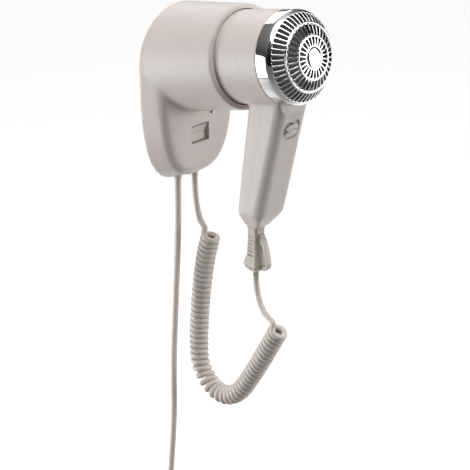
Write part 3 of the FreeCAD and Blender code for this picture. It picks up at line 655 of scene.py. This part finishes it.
# %% Holder skin
VOXEL = 1.1 * MM
TRIM = 0.8
holder = holder_box("holder_moulding", -TRIM, -DEPTH)
edit_where(holder, lambda p: p.y < -27 * MM, "EDGE")
bpy.ops.mesh.bevel(offset=7 * MM, segments=6, affect="EDGES")
bpy.ops.object.mode_set(mode="OBJECT")
combined(holder, cup_solid("cup", 0, -12, CUP_RIM_L), "UNION")
finished_with(holder, "REMESH", mode="VOXEL", voxel_size=VOXEL, use_smooth_shade=True)


def cup_gap(point):
    """How far outside the cup's surface a point is, in millimetres."""
    local = along_barrel(point)
    return math.hypot(local.x, local.y) - (CUP_BASE_R - CUP_SLOPE * local.z)


def joint_weight(point):
    """1 near the joint of cup and front face, below the cup only."""
    if point.z > 6 * MM or point.y > -8 * MM:
        return 0.0
    from_face = abs(point.y / MM + DEPTH)
    return fade(abs(cup_gap(point)), 7, 20) * fade(from_face, 7, 20) * fade(point.z / MM, -10, 6)


smoothed(holder, lambda point: 1.0, 3)
smoothed(holder, joint_weight, 110)
print(f"holder skin: {len(holder.data.polygons)} faces")

# %% Holder openings
cavity = holder_box("cavity", WALL, -DEPTH + WALL)
combined(cavity, cup_solid("cup_inside", WALL, -12, CUP_RIM_L - 3), "UNION")
cavity.data.transform(Matrix.Translation((0, 0.4 * MM, 0)))
combined(holder, cavity, "DIFFERENCE")
bore = turned("bore", [(0, 0.04), (CUP_MOUTH_R * MM, 0.04), (CUP_MOUTH_R * MM, 0.11), (0, 0.11)], 128)
combined(holder, settled(bore, BARREL), "DIFFERENCE")


def liner_screw_point(radius):
    turn = math.radians(-104)
    return BARREL @ Vector((radius * math.cos(turn), radius * math.sin(turn), 48.0))


openings = [
    box("rocker_opening", (-12.25, -40, ROCKER_Z - 9.5), (12.25, -20, ROCKER_Z + 9.5)),
    rod("shell_screw_hole", (-2, -12, -135), (-2, -12, -112), 1.7),
    rod("screw_seat", (-2, -12, -135), (-2, -12, -120.4), 3.2),
    rod("mains_hole", (-14, -8.5, -140), (-14, -8.5, -112), 4.6),
    rod("curly_hole", (10, -8.5, -140), (10, -8.5, -112), 4.4),
    rod("liner_screw_hole", liner_screw_point(42), liner_screw_point(60), 1.6),
]
combined(holder, joined("openings", openings), "DIFFERENCE")
shaded(holder, 40)
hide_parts("holder_shell")
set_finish(holder, "housing_plastic")
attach(holder, "holder")
print(f"holder: {len(holder.data.polygons)} faces")

# %% [markdown]
# ## The handset's housing
#
# Barrel and handle are one flowing shape that is split afterwards, as in the real mould, into a half
# on the wall's side and a half that carries the intake. It is made the same way as the holder: solids
# united, one even skin, relaxed beside the joint, then hollowed, cut open for the switch, and split.

# %% Housing skin
FACE_LEAN = math.radians(12.95)
LEAN = math.tan(FACE_LEAN)
INNER_LEAN = math.tan(math.radians(7.41))
NOZZLE_L, SEAM_L, GRILLE_L = 26.0, 125.0, 147.6
SHELL = 2.2
SHOULDER_Z, NECK_Z = -134.0, -151.5
NECK_Y, NECK_HALF_W = -106.6, 8.6
GRIP_HALF_W = 21.0
GRIP_ROUND = 9.5
SLIDE_Z = -41.0


def outer_face_y(z):
    return -159.5 - LEAN * z


def inner_face_y(z):
    return -112.5 - INNER_LEAN * z


def barrel_profile(inset, start, end):
    points = [(31.0, start), (31.6, NOZZLE_L + 6), (38.5, 60), (43.8, 82), (44.7, 86), (45.0, 92),
              (45.0, 101.3), (44.6, end)]
    closed = [(0, start)] + [(r - inset, z) for r, z in points] + [(0, end)]
    return [(r * MM, z * MM) for r, z in closed]


def grip(name, inset, top):
    """The handle: a box whose faces lean, with round corners, drawn in to the neck at its end."""
    item = added(name, bpy.ops.mesh.primitive_cube_add, size=2)
    for vertex in item.data.vertices:
        z = top if vertex.co.z > 0 else SHOULDER_Z
        y = outer_face_y(z) + inset if vertex.co.y < 0 else inner_face_y(z) - inset
        x = math.copysign(GRIP_HALF_W - inset, vertex.co.x)
        vertex.co = Vector((x, y, z)) * MM
    edit_where(item, lambda p: p.z < -0.1, "FACE")
    drop = (NECK_Z - SHOULDER_Z + inset) * MM
    bpy.ops.mesh.extrude_region_move(TRANSFORM_OT_translate={"value": (0, 0, drop)})
    centre_y = (outer_face_y(SHOULDER_Z) + inner_face_y(SHOULDER_Z)) / 2
    half_y = (inner_face_y(SHOULDER_Z) - outer_face_y(SHOULDER_Z)) / 2 - inset
    ratio_x = (NECK_HALF_W - inset) / (GRIP_HALF_W - inset)
    ratio_y = (NECK_HALF_W - inset) / half_y
    bpy.ops.transform.resize(value=(ratio_x, ratio_y, 1), center_override=(0, centre_y * MM, 0))
    bpy.ops.transform.translate(value=(0, (NECK_Y - centre_y) * MM, 0))
    bpy.ops.object.mode_set(mode="OBJECT")
    edit_edges(item, lambda a, b: abs(a.z - b.z) > 1 * MM and max(a.z, b.z) > -0.1)
    bpy.ops.mesh.bevel(offset=(GRIP_ROUND - inset) * MM, segments=8, affect="EDGES", clamp_overlap=True)
    faces_outward()
    return item


housing = settled(turned("housing", barrel_profile(0, NOZZLE_L, GRILLE_L)), BARREL)
handle = grip("handle", 0, -10)
room_low = GRILLE_L * MM - 0.0006
room = turned("room", [(0, room_low), (0.2, room_low), (0.2, 0.3), (0, 0.3)])
combined(handle, settled(room, BARREL), "DIFFERENCE")
combined(housing, handle, "UNION")
finished_with(housing, "REMESH", mode="VOXEL", voxel_size=VOXEL, use_smooth_shade=True)
BLEND_R = 44.8


def grip_weight(point):
    """1 near the joint of barrel and handle."""
    local = along_barrel(point)
    if local.z > 145 or point.z > -10 * MM:
        return 0.0
    return fade(abs(math.hypot(local.x, local.y) - BLEND_R), 3, 9) * fade(abs(local.z - 146), 140, 146)


smoothed(housing, lambda point: fade(along_barrel(point).z, 140, 146), 3)
smoothed(housing, grip_weight, 30)
smoothed(housing, lambda point: fade(point.z / MM, -128, -118) * fade(-point.z / MM, 146, 151), 40)
print(f"housing skin: {len(housing.data.polygons)} faces")

# %% Hollow and split the housing
hollow = settled(turned("hollow", barrel_profile(SHELL, NOZZLE_L - 1, GRILLE_L + 1)), BARREL)
grip_hollow = grip("grip_hollow", SHELL, -30)
combined(hollow, grip_hollow, "UNION")
combined(housing, hollow, "DIFFERENCE")
upper_bore = turned("upper_bore", [(0, 0.12), (0.0425, 0.12), (0.0425, 0.15), (0, 0.15)], 128)
combined(housing, settled(upper_bore, BARREL), "DIFFERENCE")

FACE = Matrix.Translation(Vector((0, outer_face_y(SLIDE_Z), SLIDE_Z)) * MM) @ Matrix.Rotation(
    FACE_LEAN, 4, "X")


def dish(name, half_w, half_h, depth, front):
    """A rounded plug with a slanted wall, for cutting the shallow recess round the switch."""
    item = added(name, bpy.ops.mesh.primitive_circle_add, vertices=64, radius=1, fill_type="NGON",
                 rotation=(math.radians(90), 0, 0))
    settled(item)
    for vertex in item.data.vertices:
        c, s = vertex.co.x, vertex.co.z
        squared = (abs(c) ** 3 + abs(s) ** 3) ** (-1 / 3)
        vertex.co = Vector((c * squared * half_w, front, s * squared * half_h)) * MM
    edit_all(item)
    bpy.ops.mesh.extrude_region_move(TRANSFORM_OT_translate={"value": (0, (depth - front) * MM, 0)})
    bpy.ops.transform.resize(value=(0.86, 1, 0.88), center_override=(0, 0, 0))
    faces_outward()
    return item


combined(housing, settled(dish("switch_dish", 11.8, 11.2, 1.9, -2.0), FACE), "DIFFERENCE")
cuts = [
    settled(box("stem_slot", (-2.6, 0.5, -6.4), (2.6, 9, 6.4)), FACE),
    rod("relief_hole", (0, -105.6, -160), (0, -105.6, -147), 4.4),
]
for z in (-72, -106):
    cuts.append(rod("screw_hole", (0, inner_face_y(z) - 8, z), (0, inner_face_y(z) + 4, z), 1.6))
combined(housing, joined("housing_cuts", cuts), "DIFFERENCE")


def wall_side(name, shift):
    """A big solid on the wall's side of the seam, which follows the barrel and then the handle."""
    corner = BARREL @ Vector((0, -45, SEAM_L)) + Vector((0, shift, 0))
    top = BARREL @ Vector((0, 120, SEAM_L)) + Vector((0, shift, 0))
    outline = [top, corner, Vector((0, corner.y + (corner.z + 200) * 0.174, -200)), Vector((0, 60, -200)),
               Vector((0, 60, 160))]
    points = [Vector((side, p.y, p.z)) * MM for side in (-100, 100) for p in outline]
    sides = [(i, (i + 1) % 5, (i + 1) % 5 + 5, i + 5) for i in range(5)]
    item = from_points(name, points, faces=[tuple(range(5)), tuple(range(9, 4, -1))] + sides)
    pick(item)
    bpy.ops.object.mode_set(mode="EDIT")
    faces_outward()
    return item


rear = housing
rear.name = "housing_rear"
front = rear.copy()
front.data = rear.data.copy()
front.name = "housing_front"
bpy.context.scene.collection.objects.link(front)
combined(front, wall_side("front_part", 0.06), "INTERSECT")
combined(rear, wall_side("rear_part", -0.06), "DIFFERENCE")
for half, node in ((front, "front_housing"), (rear, "rear_housing")):
    shaded(half, 40)
    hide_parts(node)
    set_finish(half, "housing_plastic")
    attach(half, "handset")
    print(f"{half.name}: {len(half.data.polygons)} faces")

# %% [markdown]
# ## The chrome intake
#
# Air enters through a chromed dome with three rings of slots. Cutting 106 slots with booleans would
# leave ragged edges that chrome shows at once, so each ring is drawn as a flat net of faces with its
# slots left out, lifted on to the dome's curve, given a thickness and subdivided. Subdivision rounds
# every rib, and it is these round edges that catch the light as thin bright lines.

# %% Dome curve
DOME_R = 44.2
BAND_TOP = GRILLE_L + 13.4
CROWN = GRILLE_L + 33.4
HUB_R = 10.2


def circle_through(a, b, c):
    """Centre and radius of the circle through three points in a plane."""
    ax, ay, bx, by, cx, cy = *a, *b, *c
    d = 2 * (ax * (by - cy) + bx * (cy - ay) + cx * (ay - by))
    a2, b2, c2 = ax * ax + ay * ay, bx * bx + by * by, cx * cx + cy * cy
    x = (a2 * (by - cy) + b2 * (cy - ay) + c2 * (ay - by)) / d
    y = (a2 * (cx - bx) + b2 * (ax - cx) + c2 * (bx - ax)) / d
    return x, y, math.hypot(ax - x, ay - y)


ARC = circle_through((DOME_R, BAND_TOP), (31.5, CROWN - 6.6), (HUB_R, CROWN - 0.9))


def dome_height(radius):
    x, y, r = ARC
    return y + math.sqrt(max(0.0, r * r - (radius - x) ** 2))


# %% Slotted rings
RIB = 1.7
RING_T = 1.4
SLOT_RINGS = (
    ("intake_inner", 24, (9.8, 10.6, 11.3, 13.2, 15.4, 17.5, 19.1, 19.7, 20.2), (2, 6)),
    ("intake_middle", 34, (20.1, 20.7, 21.3, 23.6, 26.0, 28.4, 30.5, 31.2, 31.8), (2, 6)),
    ("intake_outer", 48, (31.7, 32.3, 32.9, 35.0, 37.2, 39.4, 41.4, 42.4, 43.4, 44.0), (2, 6)),
)
BAND = ((44.3, 158.5), (44.4, 154.5), (44.4, 150.5), (44.4, 148.6), (44.3, 147.9), (43.6, 147.7))


def slotted_ring(name, count, radii, slots, band=()):
    """A ring of the dome with count slots. Each slot takes two of its sector's four columns."""
    rows = [(r, dome_height(r)) for r in radii] + list(band)
    item = added(name, bpy.ops.mesh.primitive_circle_add, vertices=4 * count, radius=1, fill_type="NOTHING")
    bpy.ops.object.mode_set(mode="EDIT")
    for _ in rows[1:]:
        bpy.ops.mesh.extrude_edges_move(TRANSFORM_OT_translate={"value": (0, 0, 1)})
    bpy.ops.object.mode_set(mode="OBJECT")
    for vertex in item.data.vertices:
        row = round(vertex.co.z)
        radius, height = rows[row]
        column = round(math.atan2(vertex.co.y, vertex.co.x) / math.tau * 4 * count) % (4 * count)
        sector, part = divmod(column, 4)
        half_slot = math.pi / count - RIB / 2 / radius
        offset = (-math.pi / count, -half_slot, 0, half_slot)[part]
        if row >= len(radii):
            offset = (part - 2) * math.pi / 2 / count
        angle = math.tau * (sector + 0.5) / count + offset
        vertex.co = Vector((radius * math.cos(angle), radius * math.sin(angle), height)) * MM
    first, last = radii[slots[0]], radii[slots[1]]
    pick(item)
    for face in item.data.polygons:
        middle = face.center / MM
        radius = math.hypot(middle.x, middle.y)
        turn = math.atan2(middle.y, middle.x) * count / math.tau
        within = abs(turn - math.floor(turn) - 0.5) < 0.5 - RIB * 0.55 / (math.tau * radius / count)
        face.select = first < radius < last + 0.2 and within and middle.z > rows[slots[1]][1] - 0.1
    bpy.ops.object.mode_set(mode="EDIT")
    bpy.ops.mesh.select_mode(type="FACE")
    bpy.ops.mesh.delete(type="FACE")
    faces_outward()
    top = max(item.data.polygons, key=lambda face: face.center.z)
    if top.normal.z < 0:
        edit_all(item)
        bpy.ops.mesh.flip_normals()
        bpy.ops.object.mode_set(mode="OBJECT")
    finished_with(item, "SOLIDIFY", thickness=RING_T * MM, offset=-1)
    finished_with(item, "SUBSURF", levels=2, render_levels=2)
    settled(item, BARREL)
    shaded(item, 60)
    return item


for name, count, radii, slots in SLOT_RINGS:
    ring = slotted_ring(name, count, radii, slots, BAND if name == "intake_outer" else ())
    if name == "intake_outer":
        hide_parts("intake_grille")
    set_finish(ring, "chrome_plate")
    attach(ring, "handset")
    print(f"{name}: {len(ring.data.polygons)} faces")

# %% Hub and beads
hub_profile = [(0, CROWN), (6.5, CROWN - 0.1), (9.2, CROWN - 0.45), (10.3, CROWN - 1.1),
               (10.6, CROWN - 1.9), (10.2, CROWN - 2.9), (0, CROWN - 2.9)]
hub = turned("intake_hub", [(r * MM, z * MM) for r, z in hub_profile], 96)
hub_parts = [hub]
for radius in (20.15, 31.75):
    bead = added("bead", bpy.ops.mesh.primitive_torus_add, major_segments=160, minor_segments=12,
                 major_radius=radius * MM, minor_radius=0.75 * MM,
                 location=(0, 0, (dome_height(radius) - 0.45) * MM))
    hub_parts.append(settled(bead))
hub = settled(joined("intake_hub", hub_parts), BARREL)
shaded(hub, 50)
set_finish(hub, "chrome_plate")
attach(hub, "handset")

# %% [markdown]
# ## Strain relief and switch
#
# Where the curly cord meets the handle, a soft ribbed sleeve spreads its bending, and a strap on it
# lets the handset hang from a hook. The sleeve is drawn downwards from one square, section by section.

# %% Strain relief
RELIEF_Y = -105.6
RELIEF_SECTIONS = (
    (-151.6, 7.8, 7.8), (-153.4, 7.4, 7.2), (-156, 7.0, 6.4), (-168, 7.1, 6.5), (-180, 7.4, 6.9),
    (-187, 8.4, 7.8), (-191.5, 9.9, 9.0), (-194.5, 10.2, 9.4), (-198, 8.6, 8.2), (-202, 5.4, 5.6),
)
STRAP = ((-3, -157.5), (-8, -160), (-12.5, -166), (-16.6, -178), (-18.8, -189), (-18.4, -194.5),
         (-15.5, -197.6), (-10, -198), (-3, -197))
EYE = ((-8.8, -171), (-10.0, -171), (-15.4, -186), (-15.6, -191.8), (-13.8, -193.4), (-11.2, -193.0),
       (-10.3, -188))


def prism(name, outline, half_w):
    """A slab across X from (out from the sleeve's middle, height) points."""
    item = from_points(name, [Vector((-half_w, RELIEF_Y + out, z)) * MM for out, z in outline],
                       faces=[tuple(range(len(outline)))])
    edit_all(item)
    bpy.ops.mesh.extrude_region_move(TRANSFORM_OT_translate={"value": (2 * half_w * MM, 0, 0)})
    faces_outward()
    return item


z, half_x, half_y = RELIEF_SECTIONS[0]
relief = added("relief_sleeve", bpy.ops.mesh.primitive_plane_add, size=2,
               location=(0, RELIEF_Y * MM, z * MM))
relief.scale = (half_x * MM, half_y * MM, 1)
settled(relief)
bpy.ops.object.mode_set(mode="EDIT")
bpy.ops.mesh.select_all(action="SELECT")
for low_z, next_x, next_y in RELIEF_SECTIONS[1:]:
    bpy.ops.mesh.extrude_region_move(TRANSFORM_OT_translate={"value": (0, 0, (low_z - z) * MM)})
    bpy.ops.transform.resize(value=(next_x / half_x, next_y / half_y, 1),
                             center_override=(0, RELIEF_Y * MM, low_z * MM))
    z, half_x, half_y = low_z, next_x, next_y
faces_outward()
edit_edges(relief, lambda a, b: abs(a.z - b.z) > 0.5 * MM)
bpy.ops.mesh.bevel(offset=2.6 * MM, segments=5, affect="EDGES")
bpy.ops.object.mode_set(mode="OBJECT")
combined(relief, prism("strap", STRAP, 3.2), "UNION")
combined(relief, prism("eye", EYE, 20), "DIFFERENCE")
grooves = [box("groove", (x - 2.2, RELIEF_Y - 3.9, -164.2 - 4 * step),
               (x + 2.2, RELIEF_Y + 3.9, -162.6 - 4 * step)) for x in (-8.4, 8.4) for step in range(6)]
combined(relief, joined("grooves", grooves), "DIFFERENCE")
finished_with(relief, "REMESH", mode="VOXEL", voxel_size=0.5 * MM, use_smooth_shade=True)
smoothed(relief, lambda point: 1.0, 4)
spigot = rod("spigot", (0, RELIEF_Y, -155), (0, RELIEF_Y, -146), 4.2)
combined(relief, spigot, "UNION")
combined(relief, rod("cord_bore", (0, RELIEF_Y, -215), (0, RELIEF_Y, -140), 3.25), "DIFFERENCE")
shaded(relief, 40)
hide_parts("handset_relief")
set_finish(relief, "relief_plastic")
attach(relief, "handset")
print(f"strain relief: {len(relief.data.polygons)} faces")

# %% Slide switch knob
knob = dish("speed_knob", 8.8, 6.4, 1.6, -1.2)
edit_where(knob, lambda p: p.y < -1.1 * MM, "FACE")
bpy.ops.mesh.bevel(offset=0.6 * MM, segments=3, affect="EDGES")
bpy.ops.object.mode_set(mode="OBJECT")
ridge = box("ridge", (-6.4, -2.6, -1.1), (6.4, 0, 1.1))
edit_where(ridge, lambda p: p.y < -2 * MM, "EDGE")
bpy.ops.mesh.bevel(offset=0.9 * MM, segments=4, affect="EDGES")
bpy.ops.object.mode_set(mode="OBJECT")
combined(knob, ridge, "UNION")
hollows = [box("hollow", (x - 1.0, -3, -1.4), (x + 1.0, -0.1, 1.4)) for x in (-7.6, 7.6)]
combined(knob, joined("hollows", hollows), "DIFFERENCE")
combined(knob, box("stem", (-2.2, 0.5, -1.8), (2.2, 7.2, 1.8)), "UNION")
settled(knob, FACE)
shaded(knob, 35)
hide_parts("speed_slider")
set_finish(knob, "housing_plastic")
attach(knob, "speed_slider")
print(f"knob: {len(knob.data.polygons)} faces")

# %% [markdown]
# ## Finishes
#
# A moulded surface is never one flat colour. Shader maths reads better as plain expressions than as
# dozens of links, so a small class wraps a socket and lets + - and * work on it.


# %% Shader expressions
class Signal:
    """A number that varies over a surface: a socket that takes part in expressions."""

    def __init__(self, finish, socket):
        self.finish = finish
        self.socket = socket

    def math(self, operation, first, second):
        return self.finish.node("ShaderNodeMath", {"operation": operation}, {0: first, 1: second})

    def __add__(self, other):
        return self.math("ADD", self, other)

    def __mul__(self, other):
        return self.math("MULTIPLY", self, other)

    def __sub__(self, other):
        return self.math("SUBTRACT", self, other)

    def __rsub__(self, other):
        return self.math("SUBTRACT", other, self)

    __radd__ = __add__
    __rmul__ = __mul__


class Finish:
    """A material under construction, with one Principled shader."""

    def __init__(self, name):
        self.material = bpy.data.materials.new(name)
        self.material.use_nodes = True
        self.tree = self.material.node_tree
        self.shader = self.tree.nodes["Principled BSDF"]
        self.place = self.node("ShaderNodeTexCoord", output="Object")

    def plug(self, socket, value):
        if isinstance(value, Signal):
            self.tree.links.new(value.socket, socket)
        else:
            socket.default_value = value

    def node(self, kind, settings=None, inputs=None, output=0):
        """Any node: its settings go in first, then its inputs by number or name."""
        made = self.tree.nodes.new(kind)
        for key, value in (settings or {}).items():
            setattr(made, key, value)
        for key, value in (inputs or {}).items():
            self.plug(made.inputs[key], value)
        return Signal(self, made.outputs[output])

    def noise(self, scale, detail=2.0, where=None):
        return self.node("ShaderNodeTexNoise", inputs={"Vector": where or self.place, "Scale": scale,
                                                       "Detail": detail})

    def stretched(self, x, y, z):
        """Object coordinates scaled unevenly, so that noise on them becomes streaks."""
        return self.node("ShaderNodeMapping", inputs={"Vector": self.place, "Scale": (x, y, z)})

    def mix(self, factor, first, second):
        return self.node("ShaderNodeMix", {"data_type": "RGBA"}, {0: factor, 6: first, 7: second}, 2)

    def bump(self, height, distance, strength):
        return self.node("ShaderNodeBump", inputs={"Strength": strength, "Distance": distance,
                                                   "Height": height})

    def shade(self, **inputs):
        for key, value in inputs.items():
            self.plug(self.shader.inputs[key.replace("_", " ")], value)
        return self.material


def coat(item, material):
    item.data.materials.clear()
    item.data.materials.append(material)
    if item.type == "MESH":
        for face in item.data.polygons:
            face.material_index = 0


def rgb(red, green, blue):
    return (red, green, blue, 1.0)


print("shader helpers ready")

# %% [markdown]
# ## Plastics
#
# The housings are warm off-white ABS: satin, very slightly uneven in colour where the melt flowed,
# with the fine grain of a spark-eroded mould. The grain is far too small to see as colour, so it is
# bump; the flow marks are colour and gloss.

# %% Housing plastic
def moulded(name, light, dark, gloss=0.40, grain=0.02, flow=14.0):
    finish = Finish(name)
    clouds = finish.noise(flow, 3.0)
    grit = finish.noise(2600.0, 2.0)
    return finish.shade(Base_Color=finish.mix(clouds, light, dark), Roughness=gloss + clouds * 0.09,
                        Normal=finish.bump(grit, grain * MM, 0.35), IOR=1.49)


housing_plastic = moulded("housing_plastic", rgb(0.660, 0.600, 0.570), rgb(0.620, 0.562, 0.532))
nylon = moulded("inner_white", rgb(0.66, 0.65, 0.61), rgb(0.60, 0.59, 0.54), 0.45)
black_plastic = moulded("inner_black", rgb(0.030, 0.030, 0.032), rgb(0.018, 0.018, 0.020), 0.45)

# %% Strain relief plastic
relief_plastic = moulded("relief_plastic", rgb(0.560, 0.515, 0.455), rgb(0.520, 0.475, 0.415), 0.38)
relief_shader = relief_plastic.node_tree.nodes["Principled BSDF"]
relief_shader.inputs["Subsurface Weight"].default_value = 0.25
relief_shader.inputs["Subsurface Radius"].default_value = (0.004, 0.003, 0.002)
relief_shader.inputs["Subsurface Scale"].default_value = 1.0


# %% Cord sheath
def sheath():
    """Soft PVC: a smoother gloss than the housing, with fine marks from extrusion."""
    finish = Finish("cord_sheath")
    clouds = finish.noise(22.0, 2.0)
    marks = finish.noise(900.0, 3.0)
    return finish.shade(Base_Color=finish.mix(clouds, rgb(0.680, 0.625, 0.585), rgb(0.630, 0.575, 0.535)),
                        Roughness=0.36 + marks * 0.10, Normal=finish.bump(marks, 0.03 * MM, 0.3), IOR=1.52)


cord_sheath = sheath()

# %% [markdown]
# ## Chrome
#
# Chrome plate on plastic is a mirror with a faint haze from wiping. Its look is nearly all
# reflection, so the metal itself is simple and the sky and the lamps do the work.


# %% Metals
def metal(name, light, dark, gloss, streaks=(1, 1, 1), scale=60.0, spread=0.1):
    finish = Finish(name)
    wear = finish.noise(scale, 3.0, finish.stretched(*streaks))
    return finish.shade(Base_Color=finish.mix(wear, light, dark), Metallic=1.0,
                        Roughness=gloss + wear * spread)


chrome = metal("chrome_plate", rgb(0.86, 0.86, 0.86), rgb(0.80, 0.80, 0.80), 0.035, scale=40.0, spread=0.05)
steel = metal("steel", rgb(0.58, 0.58, 0.57), rgb(0.42, 0.42, 0.41), 0.22, (1, 1, 40), 120.0, 0.25)
brass = metal("brass", rgb(0.75, 0.58, 0.28), rgb(0.62, 0.46, 0.20), 0.20, scale=200.0, spread=0.2)
magnet = moulded("magnet", rgb(0.060, 0.058, 0.056), rgb(0.035, 0.034, 0.033), 0.6, 0.06, 200.0)


# %% Inner finishes
def mica():
    """Pressed mica flakes: a mottled, silvery tan board with a flaky gloss."""
    finish = Finish("mica")
    flakes = finish.node("ShaderNodeTexVoronoi", inputs={"Vector": finish.place, "Scale": 900.0})
    return finish.shade(Base_Color=finish.mix(flakes, rgb(0.62, 0.56, 0.42), rgb(0.42, 0.36, 0.24)),
                        Roughness=0.30 + flakes * 0.3)


def circuit_board():
    finish = Finish("circuit_board")
    weave = finish.noise(1500.0, 1.0)
    return finish.shade(Base_Color=finish.mix(weave, rgb(0.05, 0.24, 0.08), rgb(0.03, 0.16, 0.05)),
                        Roughness=0.3 + weave * 0.1)


finishes = {
    "housing_plastic": housing_plastic,
    "chrome_plate": chrome,
    "relief_plastic": relief_plastic,
    "cord_sheath": cord_sheath,
    "wire_sleeve": moulded("wire_sleeve", rgb(0.05, 0.09, 0.35), rgb(0.04, 0.07, 0.28), 0.35),
    "inner_black": black_plastic,
    "inner_white": nylon,
    "mica": mica(),
    "steel": steel,
    "magnet": magnet,
    "brass": brass,
    "circuit_board": circuit_board(),
}
slots = {part["node"]: part["material_slot"] for part in frame["record"]["subparts"]}
for name, node in nodes.items():
    coat(node, finishes[slots[name]])
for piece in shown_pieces():
    if "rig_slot" in piece:
        coat(piece, finishes[piece["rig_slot"]])

# %% Floor finish
# The floor is not evenly pale. Its near side is painted shade, a dark grey for the chrome to reflect, and
# its far side glows as painted light that whitens the background and lights the object from below.
floor_paint = Finish("floor_painted_dark_near_glowing_far")
fibre = floor_paint.noise(3.0, 2.0)
along = floor_paint.node("ShaderNodeVectorMath", {"operation": "DOT_PRODUCT"},
                   {0: floor_paint.place, 1: (0.72, 0.69, 0)}, 1)
lit = floor_paint.node("ShaderNodeMapRange", {"interpolation_type": "SMOOTHSTEP"},
                 {"Value": along, 1: -0.3, 2: 1.0})
tone = floor_paint.mix(fibre, rgb(0.93, 0.93, 0.93), rgb(0.91, 0.91, 0.91))
# Painted shade colour near the camera, the pale tone far off, and a painted glow that rises with lit.
floor_paint.shade(Base_Color=floor_paint.mix(lit, rgb(0.34, 0.33, 0.32), tone), Roughness=0.9,
            Emission_Color=floor_paint.mix(lit, rgb(0.02, 0.02, 0.02), rgb(1, 1, 1)))
floor_paint.shader.inputs["Emission Strength"].default_value = 0.62
coat(floor, floor_paint.material)
